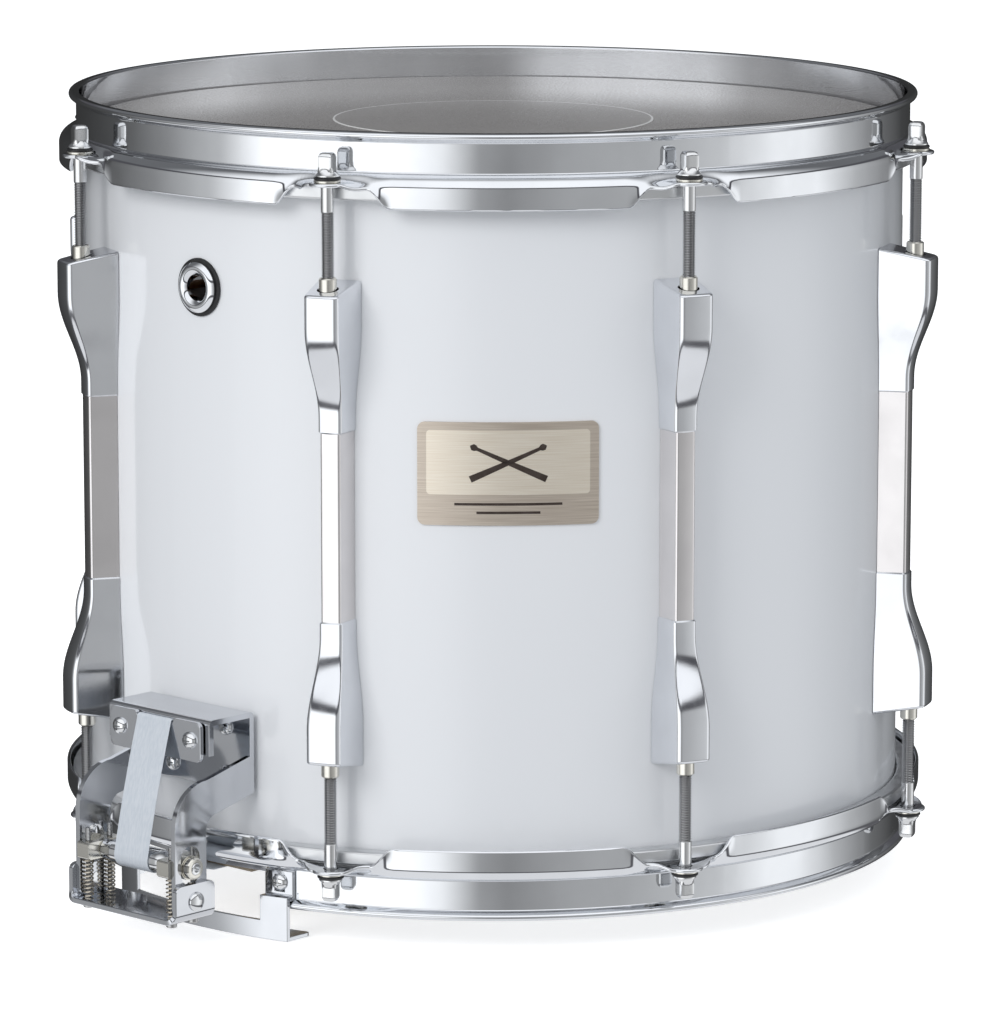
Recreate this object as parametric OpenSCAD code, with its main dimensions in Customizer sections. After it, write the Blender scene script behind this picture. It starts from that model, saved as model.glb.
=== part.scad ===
// Marching snare drum, 14 x 12 inch: a wrapped wood shell with tube lugs, two
// triple-flanged hoops, a butt-side snare roller and a lever throw-off.
// +Z is up. The origin is on the drum's axis, in the plane that it stands on.
// The badge faces -Y. Millimetres.

/* [Shell] */
// Outer radius of the shell
shell_r = 177.8; // [170:0.1:180]
// Wall thickness of the shell
shell_wall = 7.5; // [6:0.1:9]
// Height of the shell from bearing edge to bearing edge
shell_h = 297.8; // [280:0.1:320]
// Height of the shell's lower bearing edge above the floor
shell_z = 27.6; // [27:0.1:29]

/* [Hoops] */
// Distance from each bearing edge to the lip of its hoop
lip_reach = 12.6; // [12:0.1:14]
// Inner radius of the hoop's upright band
band_inner_r = 179.1; // [178.8:0.1:179.4]
// Thickness of the hoop's metal
hoop_t = 1.6; // [1.4:0.1:2]
// Depth of the ledge below the lip
ledge_depth = 15.4; // [15:0.1:16]
// Depth of the skirt's free edge below the lip
skirt_depth = 28.5; // [27:0.1:30]
// Outer radius of the skirt
skirt_r = 188.2; // [188:0.1:190]
// Depth of the upper face of each ear below the lip
ear_depth = 18.4; // [18:0.1:19]

/* [Tension] */
// Number of lugs around the shell
lugs = 8; // [8:1:8]
// Radius of the circle through the tension rods
rod_circle_r = 191.1; // [190.8:0.1:192]
// Radius of a tension rod
rod_r = 2.75; // [2.7:0.01:2.8]
// Width of a rod's square head
key_w = 6.2; // [5.8:0.1:6.4]
// Height of a lug casting's outer end above the floor, upper casting
lug_top = 274.3; // [270:0.1:278]
// Height of a lug casting's outer end above the floor, lower casting
lug_bottom = 80.1; // [78:0.1:84]
// Length of one lug casting
casting_len = 58; // [54:0.5:60]

/* [Snare units] */
// Direction of the butt unit around the drum, in degrees
butt_angle = 225; // [225:1:225]
// Half the width of a snare unit
unit_half_w = 30; // [29:0.1:31]
// Thickness of the snare units' sheet metal
sheet_t = 2.4; // [2:0.1:2.6]
// Distance of a snare roller's axis from the drum's axis
roller_r_pos = 215.3; // [215:0.1:216]
// Height of a snare roller's axis above the floor
roller_z = 35; // [34.5:0.1:35.5]
// Radius of a snare roller
roller_r = 5; // [4.6:0.1:5.2]
// Width of the snare straps
strap_w = 20; // [18:0.5:21]
// Thickness of the snare straps
strap_t = 0.5; // [0.4:0.05:0.6]

/* [Hidden] */

$fn = 96;
e = 0.01;
clear_fit = 0.05;                            // radial gap of a running fit
through = 5;                                 // more than any sheet's thickness
drill_x = 165;                               // drills through the shell's wall start here
drill_len = 20;
shell_top = shell_z + shell_h;
mid_z = shell_z + shell_h / 2;
top_lip = shell_top + lip_reach;
lip_z = shell_z - lip_reach;                 // plane of the lower hoop's lip
lug_step = 360 / lugs;
first_lug = lug_step / 2;
throwoff_angle = butt_angle - 180;

// hoop section
lip_r = 1.5;
band_outer_r = band_inner_r + hoop_t;
lip_outer_r = band_outer_r + 3.1;
shoulder_r = 5.7;
ear_r = 7.6;
ear_hole_r = 3.2;
scallop_top_w = 7.2;                         // half width of the flat at an ear
scallop_run = 14.4;                          // length of the skirt's rise beside it
gate_half_w = 40;                            // snare gates in the bottom hoop

// heads
film_t = 0.25;
collar_r = shell_r + 0.1;
flesh_top_depth = ear_depth + hoop_t + 0.5;
flesh_h = 6;
flesh_inner_r = 178.6;
flesh_w = 7;
dot_r = 69.6;

// tension rods
washer_r = 5.6;
washer_t = 1.1;
key_h = 8.6;
collar_h = 1.4;
rod_end = 266;
nut_r = 3.75;
nut_top = 280.7;
nut_len = 18;

// lug castings: outer end, neck and tube
end_half_w = 9.3;                            // at the shell; the front is narrower
end_front_half_w = 7.6;
end_depth = 22;
end_slope = 4;
neck_half_w = 6.6;
neck_front_half_w = 5.2;
neck_depth = 12.6;
tube_half_w = 6;
tube_front_half_w = 4.4;
tube_depth = 11.6;
tube_wall = 1;
tube_socket = 8;
lug_back = shell_r + 0.05;
screw_r = 2;

// snare units, in a frame with +X outward from the drum's axis and +Z up
arm_y = unit_half_w - sheet_t;
leg_outer_x = 223.8;
leg_inner_x = 206;
leg_bottom = 14.7;
slot_half_w = 5.4;
slot_z = roller_z + 1;
slot_half_h = 8.2;
shelf_z = 95;
shelf_x = 203.6;
flange_bottom = 80;
screw_dx = 6.2;                              // height screws beside the roller's axis
screw_y = arm_y - 2.6;
height_screw_r = 1.2;
spring_r = 2.3;
spring_bore_r = 1.7;
block_half_h = 3.7;
block_y = 20.5;
axle_r = 2.5;
axle_half_len = 33.8;
clamp_screw_y = 20.9;
clamp_t = 1.8;
clamp_screw_z = 86;
clamp_half_w = 27;
clamp_z = 77;
clamp_h = 17;
frame_z = 12.2;
frame_x0 = 203.5;
frame_x1 = 227.5;
lever_x = 211;
lever_z = 104;

function smooth(t) = (1 - cos(180 * t)) / 2;
module around(angle) { rotate([0, 0, angle]) children(); }
module at_rods() { for (i = [0 : lugs - 1]) around(first_lug + i * lug_step) children(); }
module upside_down() { translate([0, 0, 2 * mid_z]) mirror([0, 0, 1]) children(); }
module both_units() {
    around(butt_angle) children();
    around(throwoff_angle) children();
}
module both_sides() {
    children();
    mirror([0, 1, 0]) children();
}
// a cylinder that lies along X, from x to x + h
module x_cylinder(r, h, x = 0) { translate([x, 0, 0]) rotate([0, 90, 0]) cylinder(r = r, h = h); }
// a cylinder that lies along Y, from y to y + h
module y_cylinder(r, h, y = 0) { translate([0, y, 0]) rotate([-90, 0, 0]) cylinder(r = r, h = h); }

// ---- shell -------------------------------------------------------------
lug_screw_z = [248, lug_bottom + lug_top - 248];
bracket_screw_z = [67, 87];
bracket_screw_y = 16;
vent_z = 270;
vent_bore_r = 5.55;
vent_barrel_r = 6.4;
vent_flange_r = 10.55;

module shell() {
    edge = 2.2;
    color("white") difference() {
        rotate_extrude($fn = 180) polygon([
            [shell_r - shell_wall, shell_z + shell_wall - edge],
            [shell_r - edge, shell_z], [shell_r - edge / 2, shell_z], [shell_r, shell_z + edge / 2],
            [shell_r, shell_top - edge / 2], [shell_r - edge / 2, shell_top],
            [shell_r - edge, shell_top],
            [shell_r - shell_wall, shell_top - shell_wall + edge]]);
        at_rods() for (z = lug_screw_z) translate([0, 0, z]) x_cylinder(screw_r + 0.2, drill_len, drill_x);
        both_units() both_sides() for (z = bracket_screw_z)
            translate([0, bracket_screw_y, z]) x_cylinder(screw_r + 0.2, drill_len, drill_x);
        around(butt_angle) translate([0, 0, vent_z]) x_cylinder(vent_barrel_r + 0.1, drill_len, drill_x);
    }
}

module vent_grommet() {
    color("silver") around(butt_angle) translate([0, 0, vent_z]) rotate([0, 90, 0])
        rotate_extrude() polygon([[vent_bore_r, 168.4], [9, 168.4], [9, 169.4],
            [vent_barrel_r, 169.9], [vent_barrel_r, 178.9], [vent_flange_r, 178.9],
            [vent_flange_r, 179.6], [9.4, 180.8], [7.4, 181.3], [6, 180.8], [vent_bore_r, 179.8]]);
}

module vent_gasket() {
    color("black") around(butt_angle) translate([0, 0, vent_z]) rotate([0, 90, 0])
        rotate_extrude() translate([vent_barrel_r + clear_fit, shell_r + clear_fit])
            square([vent_flange_r + 1.6 - vent_barrel_r - clear_fit, 1]);
}

module badge() {
    half_w = 37.1;
    half_h = 21.3;
    corner = 3;
    centre_z = 200;
    color("burlywood") intersection() {
        rotate_extrude($fn = 180) translate([shell_r + 0.05, centre_z - half_h]) square([0.8, 2 * half_h]);
        translate([0, -shell_r + 30, centre_z]) rotate([90, 0, 0]) linear_extrude(60) union() {
            square([2 * half_w, 2 * (half_h - corner)], center = true);
            square([2 * (half_w - corner), 2 * half_h], center = true);
            for (x = [-1, 1], y = [-1, 1])
                translate([x * (half_w - corner), y * (half_h - corner)]) circle(corner);
        }
    }
}

// ---- heads -------------------------------------------------------------
module batter_head() {
    flange_z = top_lip - flesh_top_depth;
    color("gainsboro") rotate_extrude($fn = 180) polygon([
        [0, shell_top], [collar_r, shell_top], [collar_r, flange_z],
        [flesh_inner_r + flesh_w - 1, flange_z], [flesh_inner_r + flesh_w - 1, flange_z + film_t],
        [collar_r + film_t, flange_z + film_t], [collar_r + film_t, shell_top + film_t],
        [0, shell_top + film_t]]);
}

module batter_flesh_hoop() {
    color("lightgrey") rotate_extrude($fn = 180)
        translate([flesh_inner_r, top_lip - flesh_top_depth - flesh_h]) square([flesh_w, flesh_h]);
}

module centre_dot() {
    color("whitesmoke") translate([0, 0, shell_top + film_t]) cylinder(r = dot_r, h = 0.2);
}

module snare_head() { upside_down() batter_head(); }
module snare_flesh_hoop() { upside_down() batter_flesh_hoop(); }

// ---- hoops -------------------------------------------------------------
// half section of the hoop's ring, with the lip's plane at height 0
module hoop_section() {
    translate([lip_outer_r - lip_r, 0]) circle(lip_r, $fn = 32);
    translate([band_inner_r, -lip_r]) square([lip_outer_r - lip_r - band_inner_r, 2 * lip_r]);
    translate([band_inner_r, -ledge_depth - hoop_t]) square([hoop_t, ledge_depth + hoop_t]);
    translate([band_inner_r, -ledge_depth - hoop_t])
        square([skirt_r - shoulder_r - band_inner_r, hoop_t]);
    translate([skirt_r - shoulder_r, -ledge_depth - shoulder_r]) intersection() {
        difference() {
            circle(shoulder_r, $fn = 48);
            circle(shoulder_r - hoop_t, $fn = 48);
        }
        square(shoulder_r);
    }
    translate([skirt_r - hoop_t, -skirt_depth]) square([hoop_t, skirt_depth - ledge_depth - shoulder_r]);
}

// the gap that the skirt's free edge leaves at a rod, as a prism along +X
module scallop() {
    rise = skirt_depth - ear_depth - hoop_t;
    steps = 8;
    side = [for (i = [0 : steps]) let (t = i / steps)
        [scallop_top_w + scallop_run * smooth(t), -skirt_depth + rise * (1 - t)]];
    outline = concat([for (p = side) [p[0], p[1]]], [[side[steps][0], -skirt_depth - 5]],
        [[-side[steps][0], -skirt_depth - 5]], [for (i = [steps : -1 : 0]) [-side[i][0], side[i][1]]]);
    translate([skirt_r - shoulder_r - 0.9, 0, 0]) rotate([90, 0, 90])
        linear_extrude(12) polygon(outline);
}

module hoop_ring() {
    wall_x = 182.4;
    seat_x = 184.6;
    difference() {
        union() {
            difference() {
                rotate_extrude($fn = 180) hoop_section();
                at_rods() scallop();
                at_rods() translate([seat_x, -scallop_top_w + 0.6, -ear_depth])
                    cube([8, 2 * scallop_top_w - 1.2, 5]);
            }
            at_rods() {
                translate([wall_x, -scallop_top_w, -ear_depth - hoop_t])
                    cube([seat_x - wall_x, 2 * scallop_top_w, ear_depth + hoop_t - ledge_depth]);
                translate([seat_x - 1, -ear_r, -ear_depth - hoop_t])
                    cube([rod_circle_r - seat_x + 1, 2 * ear_r, hoop_t]);
                translate([rod_circle_r, 0, -ear_depth - hoop_t]) cylinder(r = ear_r, h = hoop_t);
            }
        }
        at_rods() translate([rod_circle_r, 0, -ear_depth - 10]) cylinder(r = ear_hole_r, h = 12);
    }
}

module top_hoop() { color("silver") translate([0, 0, top_lip]) hoop_ring(); }

module bottom_hoop() {
    color("silver") difference() {
        upside_down() translate([0, 0, top_lip]) hoop_ring();
        both_units() translate([170, -gate_half_w, 10]) cube([20, 2 * gate_half_w, 17.6]);
        both_units() both_sides() guard_screw_hole();
    }
}

// ---- tension -----------------------------------------------------------
// one rod in place above its lug, with its square head up
module rod_body() {
    seat = top_lip - ear_depth + 2 * washer_t;
    color("lightgrey") translate([rod_circle_r, 0, 0]) union() {
        translate([0, 0, rod_end]) cylinder(r = rod_r, h = seat - rod_end + e);
        translate([0, 0, seat]) rotate_extrude()
            polygon([[0, 0], [5, 0], [5, 0.5], [3.6, collar_h], [0, collar_h]]);
        translate([-key_w / 2, -key_w / 2, seat + 0.6]) cube([key_w, key_w, collar_h + key_h - 0.6]);
    }
}
module top_rod(number) { around(first_lug + (number - 1) * lug_step) rod_body(); }
module bottom_rod(number) { around(first_lug + (number - 1) * lug_step) upside_down() rod_body(); }

module washer(level) {
    translate([rod_circle_r, 0, top_lip - ear_depth + level * washer_t]) difference() {
        cylinder(r = washer_r, h = washer_t);
        translate([0, 0, -1]) cylinder(r = rod_r + 0.25, h = washer_t + 2);
    }
}
module nickel_washers() {
    color("silver") at_rods() {
        washer(0);
        upside_down() washer(0);
    }
}
module black_washers() {
    color("black") at_rods() {
        washer(1);
        upside_down() washer(1);
    }
}

// ---- lugs --------------------------------------------------------------
// a bar against the shell whose sides draw in from the shell to its front
module taper(back_half_w, front_half_w, depth, z, h) {
    translate([lug_back, 0, z]) linear_extrude(h)
        polygon([[0, -back_half_w], [depth, -front_half_w], [depth, front_half_w], [0, back_half_w]]);
}

// a lug casting, with its outer end up at lug_top
module casting() {
    steps = 10;
    z0 = lug_top - casting_len;
    // the S-curve runs from the neck to a little below the outer end
    function curve_z(t) = z0 + 6 + (casting_len - 24) * t;
    front = [for (i = [0 : steps]) let (t = i / steps)
        [neck_half_w + (end_half_w - neck_half_w) * smooth(t), curve_z(t)]];
    depth = [for (i = [0 : steps]) let (t = i / steps)
        [lug_back + neck_depth + (end_depth - neck_depth) * smooth(t), curve_z(t)]];
    top_z = lug_top + end_slope;
    difference() {
        intersection() {
            translate([lug_back - 1, 0, 0]) rotate([90, 0, 90]) linear_extrude(40) polygon(concat(
                [[neck_half_w, z0]], front, [[end_half_w, top_z + 1], [-end_half_w, top_z + 1]],
                [for (i = [steps : -1 : 0]) [-front[i][0], front[i][1]]], [[-neck_half_w, z0]]));
            translate([0, 15, 0]) rotate([90, 0, 0]) linear_extrude(30) polygon(concat(
                [[lug_back, z0], [lug_back + neck_depth, z0]], depth,
                [[lug_back + end_depth, lug_top], [lug_back, top_z]]));
            taper(end_half_w, end_front_half_w, end_depth, z0 - 1, casting_len + end_slope + 2);
        }
        // bore of the swivel nut, socket of the tube and hole of the screw
        translate([rod_circle_r, 0, nut_top - nut_len]) cylinder(r = nut_r + 0.25, h = 40);
        translate([0.4, 0, 0]) taper(tube_half_w + 0.1, tube_front_half_w + 0.1, tube_depth + 0.2,
            z0 - 1, tube_socket + 1);
        translate([0, 0, lug_screw_z[0]]) x_cylinder(screw_r + clear_fit, 12, lug_back - 2);
    }
}
module upper_lug_castings() { color("lightsteelblue") at_rods() casting(); }
module lower_lug_castings() {
    color("lightsteelblue") at_rods() translate([0, 0, lug_bottom + lug_top]) mirror([0, 0, 1]) casting();
}

module lug_tubes() {
    z0 = lug_bottom + casting_len - tube_socket;
    z1 = lug_top - casting_len + tube_socket;
    color("rosybrown") at_rods() translate([0.5, 0, 0]) difference() {
        taper(tube_half_w, tube_front_half_w, tube_depth, z0, z1 - z0);
        translate([tube_wall, 0, 0]) taper(tube_half_w - tube_wall, tube_front_half_w - tube_wall,
            tube_depth - 2 * tube_wall, z0 - 1, z1 - z0 + 2);
    }
}

module lug_screws() {
    head_x = shell_r - shell_wall;
    color("grey") at_rods() for (z = lug_screw_z) translate([0, 0, z]) {
        x_cylinder(3.6, 2.4, head_x - 2.6);
        x_cylinder(screw_r, lug_back + 8 - head_x, head_x - 0.2);
    }
}

module swivel_nut() {
    translate([rod_circle_r, 0, nut_top - nut_len]) difference() {
        cylinder(r = nut_r, h = nut_len);
        translate([0, 0, -1]) cylinder(r = rod_r + clear_fit, h = nut_len + 2);
    }
}
module swivel_nuts() {
    color("khaki") at_rods() {
        swivel_nut();
        translate([0, 0, lug_bottom + lug_top]) mirror([0, 0, 1]) swivel_nut();
    }
}

// ---- snare guards ------------------------------------------------------
guard_r = 181;                               // inner radius of a guard
guard_t = 1.8;
guard_leg_y = 43.5;
guard_leg_h = 29.4;
guard_screw_z = 24.5;
guard_leg_turn = asin(guard_leg_y / guard_r);

module guard_screw_hole() {
    around(guard_leg_turn) translate([0, 0, guard_screw_z]) x_cylinder(screw_r + 0.2, 20, 170);
}

// half section of a guard: a foot turned inward, a web in front of the lip, and
// legs that step back to the hoop's band above it
module guard_section() {
    web_x = lip_outer_r + 0.4;
    step_z = lip_z + lip_r + 0.5;
    square_at(web_x, 0, guard_t, step_z + guard_t);
    square_at(web_x - 12, 0, 12, guard_t);
    square_at(guard_r, step_z, web_x + guard_t - guard_r, guard_t);
    square_at(guard_r, step_z, guard_t, guard_leg_h - step_z);
}
module square_at(x, y, w, h) { translate([x, y]) square([w, h]); }

module snare_guard() {
    half_w = 50;
    leg_w = 13;
    web_h = 8;
    gap_half_w = half_w - leg_w;
    color("silver") intersection() {
        difference() {
            rotate_extrude($fn = 180) guard_section();
            translate([guard_r - 6, -gap_half_w, web_h]) cube([20, 2 * gap_half_w, guard_leg_h]);
            both_sides() around(guard_leg_turn) translate([guard_r - 4, -2.4, guard_screw_z - 4])
                cube([8, 4.8, 7]);
        }
        translate([guard_r / 2, -half_w, -1]) cube([guard_r / 2 + 10, 2 * half_w, guard_leg_h + 2]);
    }
}
module butt_snare_guard() { around(butt_angle) snare_guard(); }
module throwoff_snare_guard() { around(throwoff_angle) snare_guard(); }

// ---- snares ------------------------------------------------------------
strand_count = 16;
strand_pitch = 3;
strand_r = 0.6;
strand_z = shell_z - film_t - strand_r - 0.1;
plate_x0 = 158;
plate_x1 = 176;

module snare_strands() {
    color("tan") around(butt_angle) for (i = [0 : strand_count - 1])
        translate([0, (i - (strand_count - 1) / 2) * strand_pitch, strand_z])
            x_cylinder(strand_r, 2 * plate_x0, -plate_x0);
}

module snare_end_plates() {
    half_w = strand_count * strand_pitch / 2 + 2;
    color("tan") both_units() translate([plate_x0, -half_w, strand_z - 1.4])
        cube([plate_x1 - plate_x0, 2 * half_w, 1.9]);
}

// ---- snare units: parts that both share --------------------------------
module arm_outline() {
    steps = 10;
    elbow = [for (i = [0 : steps]) let (t = 90 * i / steps)
        [205 + (leg_outer_x - 205) * sin(t), 52 + 18.4 * cos(t)]];
    inner = [for (i = [steps : -1 : 0]) let (t = 90 * i / steps)
        [200 + (leg_inner_x - 200) * sin(t), 48 + 7.3 * cos(t)]];
    polygon(concat([[shell_r + 0.2, 76.8]], elbow, [[leg_outer_x, leg_bottom], [leg_inner_x, leg_bottom]],
        inner, [[shell_r + 0.2, 60.5]]));
}

module bracket() {
    plate_x = shell_r + 0.2;
    difference() {
        union() {
            translate([plate_x, -unit_half_w, 60.5]) cube([sheet_t, 2 * unit_half_w, shelf_z - 60.5]);
            translate([plate_x, -unit_half_w, shelf_z - sheet_t])
                cube([shelf_x - plate_x, 2 * unit_half_w, sheet_t]);
            translate([shelf_x - sheet_t, -unit_half_w, flange_bottom])
                cube([sheet_t, 2 * unit_half_w, shelf_z - flange_bottom]);
            both_sides() translate([0, unit_half_w, 0]) rotate([90, 0, 0])
                linear_extrude(sheet_t) arm_outline();
        }
        both_sides() {
            translate([roller_r_pos, arm_y - 1, slot_z]) slot_cut();
            translate([frame_rivet_x, arm_y - 1, frame_rivet_z]) y_cylinder(rivet_r + clear_fit, through);
            for (z = bracket_screw_z) translate([0, bracket_screw_y, z])
                x_cylinder(screw_r + 0.2, 10, plate_x - 2);
        }
    }
}

module slot_cut() {
    straight = slot_half_h - slot_half_w;
    for (s = [-1, 1]) translate([0, 0, s * straight]) y_cylinder(slot_half_w, through);
    translate([-slot_half_w, 0, -straight]) cube([2 * slot_half_w, through, 2 * straight]);
}

frame_rivet_x = 214.5;
frame_rivet_z = 21;
rivet_r = 2.5;

module u_frames() {
    ear_y = unit_half_w + 0.1;
    color("silver") both_units() difference() {
        union() {
            translate([frame_x0, -ear_y - sheet_t, frame_z])
                cube([frame_x1 - frame_x0, 2 * (ear_y + sheet_t), sheet_t]);
            both_sides() translate([frame_x0, ear_y, frame_z]) cube([22.5, sheet_t, 16.3]);
        }
        both_sides() {
            for (s = [-1, 1]) translate([roller_r_pos + s * screw_dx, screw_y, frame_z - 1])
                cylinder(r = height_screw_r + 0.2, h = 5);
            translate([frame_rivet_x, ear_y - 1, frame_rivet_z]) y_cylinder(rivet_r + clear_fit, through);
        }
    }
}

module u_frame_rivets() {
    color("gainsboro") both_units() both_sides() translate([frame_rivet_x, 0, frame_rivet_z]) {
        y_cylinder(rivet_r, 2 * sheet_t + 0.3, arm_y);
        translate([0, unit_half_w + 0.1 + sheet_t, 0]) rotate([-90, 0, 0])
            rotate_extrude() polygon([[0, 0], [4, 0], [4, 0.6], [3, 1.5], [0, 1.8]]);
    }
}

module height_screws() {
    color("goldenrod") both_units() both_sides() for (s = [-1, 1])
        translate([roller_r_pos + s * screw_dx, screw_y, 0]) {
            translate([0, 0, frame_z]) cylinder(r = height_screw_r, h = 31.8);
            translate([0, 0, frame_z - 2.2]) cylinder(r = 2.3, h = 2.2);
        }
}

module height_springs() {
    z0 = frame_z + sheet_t;
    color("goldenrod") both_units() both_sides() for (s = [-1, 1])
        translate([roller_r_pos + s * screw_dx, screw_y, z0]) difference() {
            cylinder(r = spring_r, h = roller_z - block_half_h - z0);
            translate([0, 0, -1]) cylinder(r = spring_bore_r, h = 40);
        }
}

module roller() {
    color("silver") translate([roller_r_pos, 0, roller_z]) union() {
        y_cylinder(roller_r, 2 * (block_y - 0.2), 0.2 - block_y);
        y_cylinder(axle_r, 2 * axle_half_len, -axle_half_len);
    }
}

module slide_blocks() {
    half_x = 10.2;
    color("silver") both_sides() difference() {
        union() {
            translate([roller_r_pos - half_x, block_y, roller_z - block_half_h])
                cube([2 * half_x, arm_y - block_y - 0.2, 2 * block_half_h]);
            translate([roller_r_pos, 0, roller_z]) y_cylinder(slot_half_w - 0.2, sheet_t + 0.4, arm_y - 0.4);
        }
        translate([roller_r_pos, 0, roller_z]) y_cylinder(axle_r + clear_fit, drill_len, 19);
        for (s = [-1, 1]) translate([roller_r_pos + s * screw_dx, screw_y, roller_z - 6])
            cylinder(r = height_screw_r + clear_fit, h = 12);
    }
}

module axle_nuts() {
    color("gainsboro") both_sides() translate([roller_r_pos, unit_half_w + 0.2, roller_z]) difference() {
        rotate([-90, 0, 0]) cylinder(r = 4.6, h = 3.2, $fn = 6);
        y_cylinder(axle_r + clear_fit, 2 * through, -2);
    }
}

// ---- straps ------------------------------------------------------------
// the strap from its clamp, over the clamp plate, round the roller and in to the snares
module strap(plate_face) {
    out_x = plate_face + 0.1;
    top = shelf_z - 2;
    wrap = [for (i = [0 : 8]) let (a = 15 - 13.5 * i)
        [roller_r_pos + (roller_r + 0.1) * cos(a), roller_z + (roller_r + 0.1) * sin(a)]];
    in_x = out_x - clamp_t - 0.2;
    path = concat([[in_x, top - 14], [in_x, top - 0.6], [(in_x + out_x) / 2, top + 0.3],
        [out_x, top - 0.6]], wrap,
        [[198, 24.5], [plate_x1 + 4, strand_z - 1.8], [plate_x0 + 3, strand_z - 1.8]]);
    n = len(path);
    function normal(i) = let (a = path[max(i - 1, 0)], b = path[min(i + 1, n - 1)],
        d = b - a) [-d[1], d[0]] / norm(d);
    outer = [for (i = [0 : n - 1]) path[i] + strap_t * normal(i)];
    color("aliceblue", 0.7) translate([0, strap_w / 2, 0]) rotate([90, 0, 0]) linear_extrude(strap_w)
        polygon(concat(path, [for (i = [n - 1 : -1 : 0]) outer[i]]));
}

// ---- butt unit ---------------------------------------------------------
module clamp_plate(x) {
    notch = strap_w / 2 + 1;
    color("silver") difference() {
        translate([x, -clamp_half_w, clamp_z]) cube([clamp_t, 2 * clamp_half_w, clamp_h]);
        translate([x - 1, -notch, shelf_z - 3.2]) cube([clamp_t + 2, 2 * notch, through]);
        both_sides() translate([0, clamp_screw_y, clamp_screw_z]) x_cylinder(screw_r + 0.2, 10, x - 4);
    }
}

module round_head_screw(x, reach) {
    x_cylinder(screw_r, reach + e, x - reach);
    translate([x, 0, 0]) rotate([0, 90, 0])
        rotate_extrude() polygon([[0, 0], [3.6, 0], [3.4, 1], [2.4, 2], [0, 2.4]]);
}

butt_clamp_x = shelf_x + strap_t + 0.2;

module butt_bracket() {
    color("silver") around(butt_angle) difference() {
        bracket();
        both_sides() translate([0, clamp_screw_y, clamp_screw_z])
            x_cylinder(screw_r + clear_fit, 10, shelf_x - 6);
    }
}
module butt_clamp_plate() { around(butt_angle) clamp_plate(butt_clamp_x); }
module butt_strap() { around(butt_angle) strap(butt_clamp_x + clamp_t); }
module butt_roller() { around(butt_angle) roller(); }
module butt_slide_blocks() { around(butt_angle) slide_blocks(); }
module butt_axle_nuts() { around(butt_angle) axle_nuts(); }

// guard screws, bracket screws and the butt's clamp screws are all of one kind
module round_head_screws() {
    color("gainsboro") {
        both_units() both_sides() {
            around(guard_leg_turn) translate([0, 0, guard_screw_z]) round_head_screw(guard_r + guard_t, 4.5);
            for (z = bracket_screw_z) translate([0, bracket_screw_y, z])
                round_head_screw(shell_r + 0.2 + sheet_t, 14);
        }
        around(butt_angle) both_sides() translate([0, clamp_screw_y, clamp_screw_z])
            round_head_screw(butt_clamp_x + clamp_t, 6);
    }
}

// ---- throw-off unit ----------------------------------------------------
carriage_x = shelf_x + 0.3;
carriage_t = 2;
throwoff_clamp_x = carriage_x + carriage_t + strap_t + 0.2;
lever_ear_y = 24;
tab_y = 15;
tab_t = 2;
crank = 5;                                   // throw of the lever's crank pins
lever_half_w = 21;
lever_arm_t = 2;
lever_pin_r = 1.5;

module throwoff_bracket() {
    ear_w = lever_x - shelf_x + sheet_t;
    ear_end_r = 4.5;
    color("silver") around(throwoff_angle) difference() {
        union() {
            bracket();
            // ears for the lever's pin
            both_sides() translate([shelf_x - sheet_t, lever_ear_y, shelf_z - e]) {
                cube([ear_w, sheet_t, lever_z - shelf_z]);
                translate([ear_w, 0, lever_z - shelf_z]) y_cylinder(ear_end_r, sheet_t);
                translate([0, 0, lever_z - shelf_z]) cube([ear_w, sheet_t, ear_end_r]);
            }
        }
        both_sides() {
            translate([lever_x, lever_ear_y - 1, lever_z]) y_cylinder(lever_pin_r, through);
            // slots in which the clamp screws' ends go down with the carriage
            translate([shelf_x - 4, clamp_screw_y - 2.3, flange_bottom - 7])
                cube([through + 1, 4.6, clamp_screw_z + 3 - flange_bottom + 7]);
        }
    }
}

// the carriage rises and falls in front of the bracket: the lever's crank pins
// work in slots in its two tabs, with room for the whole of their travel
module throwoff_carriage() {
    tab_x = 220;
    tab_z = 98;
    tab_h = 10.6;
    slot_x = 208.7;
    slot_w = 9.1;
    color("silver") around(throwoff_angle) difference() {
        union() {
            translate([carriage_x, -clamp_half_w, clamp_z - 1])
                cube([carriage_t, 2 * clamp_half_w, shelf_z - 0.4 - clamp_z + 1]);
            both_sides() translate([0, tab_y + tab_t, 0]) rotate([90, 0, 0]) linear_extrude(tab_t)
                polygon([[carriage_x, shelf_z - 1], [carriage_x + carriage_t, shelf_z - 1],
                    [carriage_x + 4, tab_z], [tab_x, tab_z], [tab_x, tab_z + tab_h],
                    [carriage_x + 4, tab_z + tab_h], [carriage_x, lever_z]]);
        }
        both_sides() {
            translate([0, clamp_screw_y, clamp_screw_z]) x_cylinder(screw_r + clear_fit, 10, carriage_x - 4);
            translate([slot_x, tab_y - 1, lever_z - 3]) cube([slot_w, tab_t + 2, 4.8]);
        }
    }
}
module throwoff_clamp_plate() { around(throwoff_angle) clamp_plate(throwoff_clamp_x); }
module throwoff_clamp_screws() {
    color("gainsboro") around(throwoff_angle) both_sides() translate([0, clamp_screw_y, clamp_screw_z])
        round_head_screw(throwoff_clamp_x + clamp_t, 6.5);
}
module throwoff_strap() { around(throwoff_angle) strap(throwoff_clamp_x + clamp_t); }

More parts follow.
